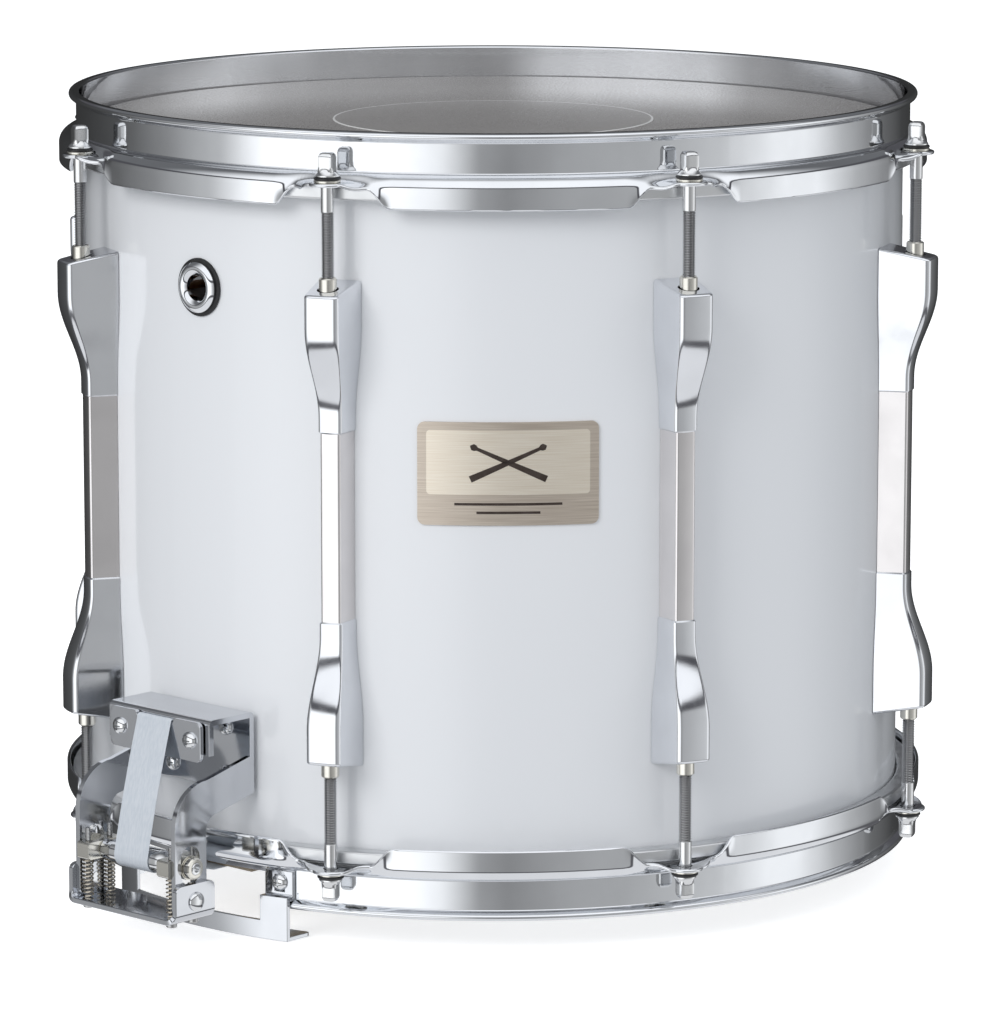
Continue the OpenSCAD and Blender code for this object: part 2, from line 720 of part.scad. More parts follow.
module throwoff_lever() {
    boss_r = 4;
    arm_h = 30;
    plate_z = 12;                            // foot of the thumb plate, above the pivot
    plate_h = 34;
    bead_r = 2;
    inner_y = lever_half_w - lever_arm_t;
    crank_pin_y = 14.5;
    color("silver") around(throwoff_angle) translate([lever_x, 0, lever_z]) difference() {
        union() {
            both_sides() {
                y_cylinder(boss_r, lever_arm_t, inner_y);
                translate([-boss_r, inner_y, 0]) cube([2 * boss_r, lever_arm_t, arm_h]);
                translate([0, inner_y, -3]) cube([crank + 3, lever_arm_t, 10]);
                translate([crank, 0, 0]) y_cylinder(lever_pin_r, inner_y + 0.1 - crank_pin_y, crank_pin_y);
            }
            translate([2, -lever_half_w, plate_z]) cube([lever_arm_t, 2 * lever_half_w, plate_h]);
            translate([2 + lever_arm_t, 0, plate_z + plate_h])
                y_cylinder(bead_r, 2 * lever_half_w, -lever_half_w);
        }
        y_cylinder(lever_pin_r + clear_fit, 2 * lever_half_w + 2, -lever_half_w - 1);
    }
}
// the lever turns on two stub pins, one in each ear, clear of the carriage between them
module throwoff_lever_pins() {
    half_len = lever_ear_y + sheet_t + 1;
    inner_y = lever_half_w - lever_arm_t - 0.4;
    head_h = 1;
    color("gainsboro") around(throwoff_angle) both_sides() translate([lever_x, 0, lever_z]) {
        y_cylinder(lever_pin_r, half_len - inner_y, inner_y);
        y_cylinder(2.6, head_h, half_len - head_h);
    }
}
module throwoff_roller() { around(throwoff_angle) roller(); }
module throwoff_slide_blocks() { around(throwoff_angle) slide_blocks(); }
module throwoff_axle_nuts() { around(throwoff_angle) axle_nuts(); }

shell();
vent_grommet();
vent_gasket();
badge();
top_hoop();
bottom_hoop();
batter_head();
batter_flesh_hoop();
centre_dot();
snare_head();
snare_flesh_hoop();
upper_lug_castings();
lower_lug_castings();
lug_tubes();
lug_screws();
swivel_nuts();
nickel_washers();
black_washers();
top_rod(1);  // top_rod_1
top_rod(2);  // top_rod_2
top_rod(3);  // top_rod_3
top_rod(4);  // top_rod_4
top_rod(5);  // top_rod_5
top_rod(6);  // top_rod_6
top_rod(7);  // top_rod_7
top_rod(8);  // top_rod_8
bottom_rod(1);  // bottom_rod_1
bottom_rod(2);  // bottom_rod_2
bottom_rod(3);  // bottom_rod_3
bottom_rod(4);  // bottom_rod_4
bottom_rod(5);  // bottom_rod_5
bottom_rod(6);  // bottom_rod_6
bottom_rod(7);  // bottom_rod_7
bottom_rod(8);  // bottom_rod_8
butt_snare_guard();
throwoff_snare_guard();
round_head_screws();
snare_strands();
snare_end_plates();
u_frames();
u_frame_rivets();
height_screws();
height_springs();
butt_bracket();
butt_clamp_plate();
butt_strap();
butt_roller();
butt_slide_blocks();
butt_axle_nuts();
throwoff_bracket();
throwoff_carriage();
throwoff_clamp_plate();
throwoff_clamp_screws();
throwoff_strap();
throwoff_lever();
throwoff_lever_pins();
throwoff_roller();
throwoff_slide_blocks();
throwoff_axle_nuts();
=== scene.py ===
"""Looks of a marching snare drum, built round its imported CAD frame. Metres, +Z up.

Each snare unit has a frame of its own, turned about Z so that +X points out from the drum.
"""
import math

import bmesh
import bpy
from mathutils import Matrix, Vector


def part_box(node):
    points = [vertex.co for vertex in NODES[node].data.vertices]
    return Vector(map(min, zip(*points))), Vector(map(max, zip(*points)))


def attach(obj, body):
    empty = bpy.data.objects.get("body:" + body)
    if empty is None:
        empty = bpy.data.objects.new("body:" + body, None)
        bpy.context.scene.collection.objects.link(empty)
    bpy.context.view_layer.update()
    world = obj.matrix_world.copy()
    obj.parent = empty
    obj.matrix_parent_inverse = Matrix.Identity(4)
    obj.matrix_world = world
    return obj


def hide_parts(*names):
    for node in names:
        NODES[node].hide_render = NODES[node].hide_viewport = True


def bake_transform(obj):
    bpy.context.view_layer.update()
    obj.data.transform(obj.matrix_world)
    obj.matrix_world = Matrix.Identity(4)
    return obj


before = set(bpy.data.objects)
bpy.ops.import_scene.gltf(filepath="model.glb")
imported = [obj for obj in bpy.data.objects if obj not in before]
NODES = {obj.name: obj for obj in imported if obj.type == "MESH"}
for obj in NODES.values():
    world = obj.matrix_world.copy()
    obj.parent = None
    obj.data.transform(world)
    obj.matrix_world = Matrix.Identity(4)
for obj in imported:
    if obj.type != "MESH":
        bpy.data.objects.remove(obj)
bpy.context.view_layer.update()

X_AXIS = Matrix.Rotation(math.pi / 2, 4, "Y")       # takes +Z to +X
Y_AXIS = Matrix.Rotation(-math.pi / 2, 4, "X")      # takes +Z to +Y


# ---- camera, studio ------------------------------------------------------
def add_camera():
    """A long lens a little above the drum, looking slightly down at it."""
    azimuth, rise, roll = (math.radians(a) for a in (-2.021, -10.353, 0.013))
    distance, height = 2.4308, 0.5958
    camera = bpy.data.objects.new("camera", bpy.data.cameras.new("camera"))
    bpy.context.scene.collection.objects.link(camera)
    camera.data.sensor_width = 36
    camera.data.lens = 197.47
    camera.location = (distance * math.sin(azimuth), -distance * math.cos(azimuth), height)
    look = Matrix.Rotation(azimuth, 4, "Z") @ Matrix.Rotation(math.pi / 2 + rise, 4, "X")
    camera.rotation_euler = (look @ Matrix.Rotation(roll, 4, "Z")).to_euler()
    bpy.context.scene.camera = camera


class Tree:
    """A short way to write a node tree: each call adds a node and returns its first output."""

    def __init__(self, tree):
        self.tree = tree
        tree.nodes.clear()

    def node(self, kind, inputs=None, **settings):
        node = self.tree.nodes.new("ShaderNode" + kind)
        for name, value in settings.items():
            setattr(node, name, value)
        for name, value in (inputs or {}).items():
            if isinstance(value, bpy.types.NodeSocket):
                self.tree.links.new(value, node.inputs[name])
            else:
                node.inputs[name].default_value = value
        return node

    def math(self, operation, a, b=0.0, c=0.0):
        return self.node("Math", {0: a, 1: b, 2: c}, operation=operation).outputs[0]

    def between(self, value, low, high, to_low=0.0, to_high=1.0, smooth=True):
        """value's place between low and high, as a number from to_low to to_high."""
        kind = "SMOOTHSTEP" if smooth else "LINEAR"
        inputs = {"Value": value, "From Min": low, "From Max": high, "To Min": to_low, "To Max": to_high}
        return self.node("MapRange", inputs, interpolation_type=kind).outputs[0]

    def mix(self, factor, a, b):
        node = self.node("Mix", data_type="RGBA")
        for socket, value in ((node.inputs[0], factor), (node.inputs[6], a), (node.inputs[7], b)):
            if isinstance(value, bpy.types.NodeSocket):
                self.tree.links.new(value, socket)
            else:
                socket.default_value = value if socket == node.inputs[0] else (*value, 1)
        return node.outputs[2]

    def noise(self, place, scale, detail=2.0, roughness=0.5):
        inputs = {"Vector": place, "Scale": scale, "Detail": detail, "Roughness": roughness}
        return self.node("TexNoise", inputs).outputs[0]

    def stretched(self, place, scale):
        return self.node("Mapping", {"Vector": place, "Scale": scale}).outputs[0]

    def ramp(self, value, stops):
        node = self.node("ValToRGB", {0: value})
        steps = node.color_ramp.elements
        while len(steps) < len(stops):
            steps.new(0.5)
        for step, (place, colour) in zip(steps, stops):
            step.position = place
            step.color = (*colour, 1)
        return node.outputs[0]

    def bump(self, height, strength, distance):
        return self.node("Bump", {"Height": height, "Strength": strength, "Distance": distance}).outputs[0]


# What stands round the drum at eye height: direction in degrees from the camera, positive to
# the right, and how bright it is. A big window each side of the front, dark gaps between and behind.
STUDIO = [(-180, 0.03), (-150, 0.05), (-125, 0.09), (-101, 0.30), (-81, 0.60), (-66, 1.4),
          (-30, 1.5), (-16, 1.1), (-6, 0.40), (2, 0.31), (16, 0.42), (40, 0.50), (62, 0.66),
          (80, 1.1), (92, 1.1), (108, 0.55), (130, 0.17), (150, 0.06), (180, 0.03)]


def add_world():
    """White to the camera; to the reflections a studio with windows, dark gaps, ceiling and floor."""
    world = bpy.data.worlds.new("studio")
    bpy.context.scene.world = world
    world.use_nodes = True
    t = Tree(world.node_tree)
    towards = t.node("TexCoord").outputs["Generated"]
    split = t.node("SeparateXYZ", {0: towards}).outputs
    around = t.math("ARCTAN2", split[0], t.math("MULTIPLY", split[1], -1))
    turn = t.between(around, -math.pi, math.pi, smooth=False)
    wall = t.ramp(turn, [((degrees + 180) / 360, (v * 0.97, v * 0.985, v)) for degrees, v in STUDIO])
    ceiling = t.mix(t.between(split[1], -0.35, 0.3), (1.15, 1.17, 1.2), (0.16, 0.165, 0.175))
    above = t.mix(t.between(split[2], 0.20, 0.26), wall, (0.09, 0.09, 0.10))
    above = t.mix(t.between(split[2], 0.32, 0.40), above, ceiling)
    under = t.mix(t.between(split[2], -0.50, -0.56), (0.12, 0.12, 0.13), (0.85, 0.86, 0.88))
    seen = t.mix(t.between(split[2], -0.38, -0.44), above, under)
    rays = t.node("LightPath").outputs
    fill = t.node("Background", {0: (0.93, 0.96, 1.0, 1), 1: 0.62}).outputs[0]
    gloss = t.node("Background", {0: seen}).outputs[0]
    white = t.node("Background", {0: (1, 1, 1, 1)}).outputs[0]
    lit = t.node("MixShader", {0: rays["Is Glossy Ray"], 1: fill, 2: gloss}).outputs[0]
    shown = t.node("MixShader", {0: rays["Is Camera Ray"], 1: lit, 2: white}).outputs[0]
    t.node("OutputWorld", {"Surface": shown})


def add_light(name, place, size, power, colour=(1, 1, 1)):
    """A soft square light that looks at the drum and isn't seen in the chrome."""
    light = bpy.data.lights.new(name, "AREA")
    light.size = size
    light.energy = power
    light.color = colour
    holder = bpy.data.objects.new(name, light)
    bpy.context.scene.collection.objects.link(holder)
    holder.location = place
    holder.rotation_euler = (Vector((0, 0, 0.17)) - holder.location).to_track_quat("-Z", "Y").to_euler()
    holder.visible_glossy = False


def add_studio():
    add_world()
    add_light("key", (-1.5, -1.9, 1.5), 1.2, 26)
    add_light("top", (0.1, 0.2, 2.2), 1.6, 10)
    add_light("fill", (1.9, -1.2, 0.8), 1.2, 3, (0.93, 0.96, 1.0))
    mesh = bpy.data.meshes.new("floor")
    work = bmesh.new()
    bmesh.ops.create_grid(work, x_segments=1, y_segments=1, size=40)
    work.to_mesh(mesh)
    floor = bpy.data.objects.new("floor", mesh)
    bpy.context.scene.collection.objects.link(floor)
    floor.location.z = -0.0005
    floor.visible_glossy = False
    floor.visible_diffuse = False
    paper = new_material("floor_paper", lambda t, p: {
        "Base Color": t.mix(t.noise(p, 3.0), (0.93, 0.93, 0.93), (0.95, 0.95, 0.95)), "Roughness": 0.9,
        "Emission Color": (1, 1, 1, 1), "Emission Strength": 0.62})
    mesh.materials.append(paper)
    bpy.context.scene.view_settings.view_transform = "Standard"


# ---- materials -----------------------------------------------------------
def new_material(name, paint):
    """A material: paint(tree, place) returns what goes into the shader's sockets."""
    made = bpy.data.materials.new(name)
    made.use_nodes = True
    t = Tree(made.node_tree)
    bsdf = t.node("BsdfPrincipled")
    place = t.node("TexCoord").outputs["Object"]
    for socket, value in paint(t, place).items():
        if isinstance(value, bpy.types.NodeSocket):
            made.node_tree.links.new(value, bsdf.inputs[socket])
        else:
            bsdf.inputs[socket].default_value = value
    t.node("OutputMaterial", {"Surface": bsdf.outputs[0]})
    return made


def plated(name, colour, roughness, cloudy=0.03, grain=0.0):
    """Bright plating: faint clouds in its polish, and a fine grain on cast metal."""
    def paint(t, place):
        clouds = t.noise(place, 45.0, 3.0)
        darker = tuple(c * 0.94 for c in colour)
        look = {"Metallic": 1.0, "Base Color": t.mix(t.between(clouds, 0.3, 0.7), darker, colour),
                "Roughness": t.between(t.noise(place, 120.0, 3.0), 0.3, 0.75, roughness, roughness + cloudy)}
        if grain:
            look["Normal"] = t.bump(t.noise(place, 1500.0, 2.0), grain, 0.0001)
        return look
    return new_material(name, paint)


def plastic(name, colour, roughness, **more):
    """Moulded plastic or rubber with a fine texture."""
    def paint(t, place):
        spots = t.noise(place, 260.0, 3.0)
        lighter = tuple(min(1, c * 1.12 + 0.01) for c in colour)
        return {"Base Color": t.mix(t.between(spots, 0.35, 0.65), colour, lighter),
                "Roughness": t.between(spots, 0.3, 0.7, roughness, roughness + 0.12),
                "Normal": t.bump(t.noise(place, 2500.0), 0.1, 0.0001), **more}
    return new_material(name, paint)


def shell_finish():
    """White gloss wrap outside, maple plies where the wall is cut or bare."""
    def paint(t, place):
        split = t.node("SeparateXYZ", {0: place}).outputs
        flat = t.node("CombineXYZ", {0: split[0], 1: split[1]}).outputs[0]
        radius = t.node("VectorMath", {0: flat}, operation="LENGTH").outputs["Value"]
        wrap = t.between(radius, SHELL_R - 0.00065, SHELL_R - 0.00055)
        plies = t.math("SINE", t.math("MULTIPLY", radius, 2 * math.pi / 0.0013))
        grain = t.noise(t.stretched(place, (90, 90, 8)), 4.0, 5.0, 0.65)
        wood = t.mix(t.between(grain, 0.3, 0.7), (0.20, 0.085, 0.032), (0.42, 0.23, 0.10))
        wood = t.mix(t.between(plies, -0.4, 0.4), wood, (0.30, 0.15, 0.065))
        cloud = t.noise(place, 9.0, 2.0)
        white = t.mix(cloud, (0.86, 0.875, 0.90), (0.885, 0.895, 0.915))
        peel = t.noise(place, 140.0, 2.0)
        return {"Base Color": t.mix(wrap, wood, white), "Roughness": t.between(wrap, 0, 1, 0.55, 0.22),
                "Coat Weight": 0.6, "Coat Roughness": 0.04,
                "Normal": t.bump(t.math("ADD", peel, t.math("MULTIPLY", grain, 0.3)), 0.03, 0.0002)}
    return new_material("shell_gloss_wrap", paint)


def head_finish(name, colour, roughness, edge_r=0.0):
    """Drum-head film: faint coating clouds; with edge_r, a pale rim at that radius."""
    def paint(t, place):
        cloud = t.noise(place, 30.0, 4.0, 0.6)
        speck = t.noise(place, 900.0, 2.0)
        tone = t.mix(t.between(cloud, 0.3, 0.7), colour, tuple(c * 1.06 for c in colour))
        if edge_r:
            flat = t.node("VectorMath", {0: place, 1: (1, 1, 0)}, operation="MULTIPLY").outputs[0]
            radius = t.node("VectorMath", {0: flat}, operation="LENGTH").outputs["Value"]
            tone = t.mix(t.between(radius, edge_r - 0.0012, edge_r - 0.0006), tone, (0.75, 0.75, 0.74))
        return {"Base Color": tone, "Roughness": t.between(speck, 0.3, 0.7, roughness, roughness + 0.08),
                "Coat Weight": 0.08, "Coat Roughness": 0.1, "Specular IOR Level": 0.35,
                "Normal": t.bump(speck, 0.05, 0.0001)}
    return new_material(name, paint)


def clear_film():
    def paint(t, place):
        haze = t.noise(place, 25.0, 3.0)
        return {"Base Color": t.mix(haze, (0.82, 0.83, 0.84), (0.88, 0.89, 0.9)), "Alpha": 0.55,
                "Roughness": t.between(haze, 0.3, 0.7, 0.12, 0.2)}
    return new_material("clear_snare_film", paint)


def rod_finish():
    """Plated steel rods: bright heads and shanks, and the threads between the shanks and the nuts painted
    darker, as painted shade in their grooves.
    """
    middle = (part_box("top_hoop")[1].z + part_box("bottom_hoop")[0].z) / 2
    shank_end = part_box("black_washers")[1].z - SHANK - middle

    def paint(t, place):
        wear = t.noise(place, 600.0, 2.0)
        height = t.node("SeparateXYZ", {0: place}).outputs[2]
        away = t.math("ABSOLUTE", t.math("SUBTRACT", height, middle))
        # the threads' darker tone is painted shade in the thread grooves
        thread = t.between(away, shank_end + 0.0001, shank_end - 0.0003)
        tone = t.mix(thread, (0.76, 0.765, 0.77), (0.42, 0.42, 0.425))
        return {"Metallic": 1.0, "Base Color": tone, "Roughness": t.between(wear, 0.3, 0.7, 0.10, 0.18)}
    return new_material("rod_chrome", paint)


def strap_finish():
    """Milky plastic strap: lets a little through, with faint rolling lines along it."""
    def paint(t, place):
        lines = t.noise(t.stretched(place, (1200, 1200, 60)), 1.0, 2.0)
        tone = t.mix(t.between(lines, 0.3, 0.7), (0.68, 0.73, 0.79), (0.76, 0.80, 0.85))
        return {"Base Color": tone, "Roughness": t.between(lines, 0.2, 0.8, 0.28, 0.4),
                "Alpha": 0.84, "Normal": t.bump(lines, 0.1, 0.0001)}
    return new_material("milky_strap", paint)


def gut_finish():
    """Coiled snare strands: fine turns across the length, tan and cream."""
    def paint(t, place):
        turned = t.node("VectorRotate", {"Vector": place, "Angle": -UNITS["butt"].to_euler().z}).outputs[0]
        split = t.node("SeparateXYZ", {0: turned}).outputs
        coils = t.math("SINE", t.math("MULTIPLY", split[0], 2 * math.pi / 0.0011))
        fleck = t.noise(place, 300.0, 3.0)
        tone = t.mix(t.between(coils, -0.6, 0.6), (0.20, 0.15, 0.10), (0.62, 0.50, 0.36))
        return {"Base Color": t.mix(t.between(fleck, 0.5, 0.8), tone, (0.7, 0.62, 0.5)), "Roughness": 0.45,
                "Normal": t.bump(coils, 0.4, 0.0002)}
    return new_material("wound_gut", paint)


# ---- shapes --------------------------------------------------------------
class Shape:
    """Surfaces gathered in one mesh, which becomes one piece at the end."""

    def __init__(self):
        self.mesh = bmesh.new()

    def skin(self, rings, closed=True, loop=False, caps=True, place=Matrix()):
        """Faces through rings of points. closed joins each ring's ends, loop the last ring to the first."""
        rows = [[self.mesh.verts.new(place @ Vector(p)) for p in ring] for ring in rings]
        pairs = list(zip(rows, rows[1:]))
        if loop:
            pairs.append((rows[-1], rows[0]))
        count = len(rows[0])
        for a, b in pairs:
            for i in range(count if closed else count - 1):
                j = (i + 1) % count
                self.mesh.faces.new((a[i], a[j], b[j], b[i]))
        if caps and not loop:
            self.mesh.faces.new(rows[0])
            self.mesh.faces.new(rows[-1])

    def lathe(self, profile, place=Matrix(), steps=40, closed=False):
        """A (radius, height) profile turned about the +Z axis of place."""
        rings = []
        for i in range(steps):
            a = 2 * math.pi * i / steps
            rings.append([(r * math.cos(a), r * math.sin(a), h) for r, h in profile])
        self.skin(rings, closed=closed, loop=True, place=place)

    def tube(self, path, radius, sides=8):
        """A round bar along a path of points."""
        rings = []
        for i, p in enumerate(path):
            ahead = Vector(path[min(i + 1, len(path) - 1)]) - Vector(path[max(i - 1, 0)])
            side = ahead.cross(Vector((0, 0, 1))).normalized()
            up = side.cross(ahead).normalized()
            angles = [2 * math.pi * k / sides for k in range(sides)]
            rings.append([Vector(p) + radius * (math.cos(a) * side + math.sin(a) * up) for a in angles])
        self.skin(rings)

    def copy_node(self, node):
        """The CAD node's own surfaces, welded, with flat faces made whole."""
        self.mesh.from_mesh(NODES[node].data)
        bmesh.ops.remove_doubles(self.mesh, verts=self.mesh.verts, dist=1e-6)
        bmesh.ops.dissolve_limit(self.mesh, angle_limit=math.radians(0.6), verts=self.mesh.verts,
                                 edges=self.mesh.edges)

    def ease(self, width, segments=2, where=None, turn=Matrix()):
        """Rounds sharp edges; where(middle, direction) picks them, seen in the frame turned by turn."""
        back = turn.inverted()
        chosen = []
        for edge in self.mesh.edges:
            if len(edge.link_faces) != 2 or edge.calc_face_angle() < math.radians(30):
                continue
            a, b = (back @ v.co for v in edge.verts)
            if where is None or where((a + b) / 2, (b - a).normalized()):
                chosen.append(edge)
        if chosen:
            bmesh.ops.bevel(self.mesh, geom=chosen, offset=width, segments=segments, profile=0.5,
                            affect="EDGES", clamp_overlap=True)

    def cut(self, cutter):
        """Takes another shape's solids away from this one."""
        things = []
        for shape in (self, cutter):
            bmesh.ops.remove_doubles(shape.mesh, verts=shape.mesh.verts, dist=1e-7)
            bmesh.ops.recalc_face_normals(shape.mesh, faces=shape.mesh.faces)
            mesh = bpy.data.meshes.new("cut")
            shape.mesh.to_mesh(mesh)
            thing = bpy.data.objects.new("cut", mesh)
            bpy.context.scene.collection.objects.link(thing)
            things.append(thing)
        modifier = things[0].modifiers.new("cut", "BOOLEAN")
        modifier.operation = "DIFFERENCE"
        modifier.object = things[1]
        modifier.solver = "EXACT"
        made = things[0].evaluated_get(bpy.context.evaluated_depsgraph_get()).to_mesh()
        self.mesh.clear()
        self.mesh.from_mesh(made)
        for thing in things:
            bpy.data.objects.remove(thing)

    def piece(self, name, finish, body, nodes, sharp=35):
        bmesh.ops.remove_doubles(self.mesh, verts=self.mesh.verts, dist=1e-7)
        bmesh.ops.dissolve_degenerate(self.mesh, edges=self.mesh.edges, dist=1e-8)
        bmesh.ops.recalc_face_normals(self.mesh, faces=self.mesh.faces)
        mesh = bpy.data.meshes.new(name)
        self.mesh.to_mesh(mesh)
        mesh.shade_smooth()
        mesh.set_sharp_from_angle(angle=math.radians(sharp))
        mesh.materials.append(finish)
        thing = bpy.data.objects.new(name, mesh)
        bpy.context.scene.collection.objects.link(thing)
        thing.modifiers.new("even_shading", "WEIGHTED_NORMAL").keep_sharp = True
        if isinstance(body, str):
            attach(thing, body)
        else:
            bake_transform(thing)
        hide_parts(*nodes)
        return thing


def solids(node, turn=Matrix()):
    """(lowest corner, highest corner) of each separate solid of a node, in the frame turned by turn."""
    work = bmesh.new()
    work.from_mesh(NODES[node].data)
    bmesh.ops.remove_doubles(work, verts=work.verts, dist=1e-6)
    back = turn.inverted()
    left = set(work.verts)
    boxes = []
    while left:
        reached = [left.pop()]
        for v in reached:
            near = {e.other_vert(v) for e in v.link_edges} & left
            left -= near
            reached.extend(near)
        points = [back @ v.co for v in reached]
        low = Vector([min(p[i] for p in points) for i in range(3)])
        high = Vector([max(p[i] for p in points) for i in range(3)])
        boxes.append((low, high))
    return boxes


def middle(box):
    """The centre of a (lowest corner, highest corner) box."""
    return (box[0] + box[1]) / 2


def turned(angle):
    return Matrix.Rotation(angle, 4, "Z")


def at(x, y, z):
    return Matrix.Translation((x, y, z))


def heading(node):
    centre = middle(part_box(node))
    return math.atan2(centre.y, centre.x)


def arc(cx, cy, r, start, end, steps):
    """Points along an arc, angles in degrees."""
    angles = [math.radians(start + (end - start) * i / steps) for i in range(steps + 1)]
    return [(cx + r * math.cos(a), cy + r * math.sin(a)) for a in angles]


def smooth(t):
    t = min(1.0, max(0.0, t))
    return (1 - math.cos(math.pi * t)) / 2


def blend_points(a, b, t):
    return [(p[0] + (q[0] - p[0]) * t, p[1] + (q[1] - p[1]) * t) for p, q in zip(a, b)]


UNITS = {"butt": turned(heading("butt_bracket")), "throwoff": turned(heading("throwoff_bracket"))}
ROD_ANGLES = [heading(f"top_rod_{i + 1}") for i in range(8)]
ROD_CIRCLE = middle(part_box("top_rod_1")).to_2d().length
MID_Z = middle(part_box("shell")).z
UPSIDE_DOWN = at(0, 0, 2 * MID_Z) @ Matrix.Scale(-1, 4, (0, 0, 1))
SHELL_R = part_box("shell")[1].x


# ---- hoops ---------------------------------------------------------------
BAND_IN, BAND_OUT = 0.1791, 0.1807                  # the hoop's upright band
LIP = 0.0015                                        # half thickness of its lip
SHEET = BAND_OUT - BAND_IN
LEDGE = 0.0154                                      # depths below the lip's plane
EAR_TOP = 0.0184
SKIRT_EDGE = 0.0285
SKIRT_OUT = 0.1882
SHOULDER = 0.0057
EAR_R = 0.0076
EAR_FLAT = 0.0060                                   # half width of the flat at a rod
SHANK = 0.0142                                      # smooth part of a rod, from its washers
SCALLOP = 0.0200                                    # the skirt's rise beside it


def flap(ear, edge):
    """The sheet outside the band: it hangs as a skirt at ear 0 and stands out level at ear 1."""
    half, bend = SHEET / 2, SHOULDER - SHEET / 2
    start = SKIRT_OUT - SHOULDER
    hanging = bend * math.pi / 2 + SKIRT_EDGE - LEDGE - SHOULDER
    length = hanging + (edge - half - start - hanging) * ear - 0.0074 * math.sin(math.pi * ear)
    swing = math.pi / 2 * (1 - ear)
    outer, inner = [], []
    for i in range(25):
        u = length * (i / 24)
        turn = min(u / bend, swing)
        rest = max(0.0, u - bend * swing)
        x = start + bend * math.sin(turn) + rest * math.cos(swing)
        z = -LEDGE - half - bend * (1 - math.cos(turn)) - rest * math.sin(swing)
        z -= (EAR_TOP - LEDGE) * ear * smooth(u / 0.0045)
        outer.append((x + half * math.sin(turn), z + half * math.cos(turn)))
        inner.append((x - half * math.sin(turn), z - half * math.cos(turn)))
    toward = 90 - math.degrees(swing)
    tip = arc(x, z, half, toward, toward - 180, 6)
    return outer[:-1] + tip + inner[-2::-1]


def hoop_section(ear, edge):
    """The pressed sheet's section as (radius, height) points, from the lip round to the lip."""
    lip = arc(BAND_IN + 0.0011, LIP - 0.0011, 0.0011, 180, 90, 5)
    lip += arc(BAND_OUT + 0.0016, 0, LIP, 90, -60, 9) + arc(BAND_OUT + 0.0009, -0.0030, 0.0009, 120, 180, 3)
    outside = arc(BAND_OUT + 0.0008, 0.0008 - LEDGE, 0.0008, 180, 260, 4)
    under = [(BAND_IN + 0.0016, -LEDGE - SHEET), (BAND_IN, -LEDGE - SHEET + 0.001)]
    return lip + outside + flap(ear, edge) + under


def hoop_shape(place):
    """The whole pressed hoop, its lip's plane at height 0 of place."""
    shape = Shape()
    pitch = 2 * math.pi / len(ROD_ANGLES)
    reach = pitch / 2 * SKIRT_OUT
    ends = EAR_FLAT + SCALLOP
    side = [EAR_FLAT * math.sin(math.pi / 2 * i / 7) for i in range(8)]
    side += [EAR_FLAT + SCALLOP * i / 14 for i in range(1, 15)]
    side += [ends + (reach - ends) * i / 9 for i in range(1, 10)]
    rings = []
    for angle in sorted(a % (2 * math.pi) for a in ROD_ANGLES):
        for s in [-s for s in reversed(side[1:-1])] + side:
            ear = smooth(1 - (abs(s) - EAR_FLAT) / SCALLOP)
            inside = min(abs(s), EAR_FLAT)
            section = hoop_section(ear, ROD_CIRCLE + math.sqrt(EAR_R ** 2 - inside ** 2))
            a = angle + s / SKIRT_OUT
            rings.append([(r * math.cos(a), r * math.sin(a), h) for r, h in section])
    shape.skin(rings, loop=True, place=place)
    bores = Shape()
    for angle in ROD_ANGLES:
        bores.lathe([(0, -0.025), (0.0032, -0.025), (0.0032, -0.015), (0, -0.015)],
                    place @ turned(angle) @ at(ROD_CIRCLE, 0, 0), steps=24)
    shape.cut(bores)
    return shape


def make_hoops(chrome):
    lip_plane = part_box("top_hoop")[1].z - LIP
    hoop_shape(at(0, 0, lip_plane)).piece("top_hoop_pressed", chrome, "drum", ["top_hoop"], 30)
    low = hoop_shape(UPSIDE_DOWN @ at(0, 0, lip_plane))
    gates = Shape()
    half_gate, top = 0.040, 0.0276
    for turn in UNITS.values():
        box = [(x, y) for x, y in arc(half_gate - 0.002, top - 0.002, 0.002, 90, 0, 4)]
        outline = box + [(half_gate, 0.010), (-half_gate, 0.010)] + [(-y, z) for y, z in reversed(box)]
        gates.skin([[(x, y, z) for y, z in outline] for x in (0.170, 0.190)], place=turn)
    low.cut(gates)
    low.piece("bottom_hoop_pressed", chrome, "drum", ["bottom_hoop"], 30)


# ---- heads ---------------------------------------------------------------
def head_shape(place):
    """A stretched film with its shoulder, collar and the flange that the flesh hoop holds."""
    low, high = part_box("batter_head")
    film, collar = 0.00025, SHELL_R + 0.00035
    shoulder = 0.0025
    over = [(0, high.z)] + arc(collar - shoulder, high.z - shoulder, shoulder, 90, 0, 8)
    over += arc(collar + 0.0015, low.z + film + 0.0015, 0.0015, 180, 270, 4) + [(high.x, low.z + film)]
    under = [(high.x, low.z)] + arc(collar + 0.0015, low.z + film + 0.0015, 0.0015 + film, 270, 180, 4)
    under += arc(collar - shoulder, high.z - shoulder, shoulder - film, 0, 90, 8) + [(0, high.z - film)]
    shape = Shape()
    shape.lathe(over + under, place, steps=240)
    return shape


def flesh_hoop_shape(place):
    low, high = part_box("batter_flesh_hoop")
    inner = high.x - 0.007
    bevel = 0.0012
    shape = Shape()
    shape.lathe(arc(high.x - bevel, high.z - bevel, bevel, 90, 0, 4)
                + arc(high.x - bevel, low.z + bevel, bevel, 0, -90, 4)
                + arc(inner + bevel, low.z + bevel, bevel, 270, 180, 4)
                + arc(inner + bevel, high.z - bevel, bevel, 180, 90, 4), place, steps=240, closed=True)
    return shape


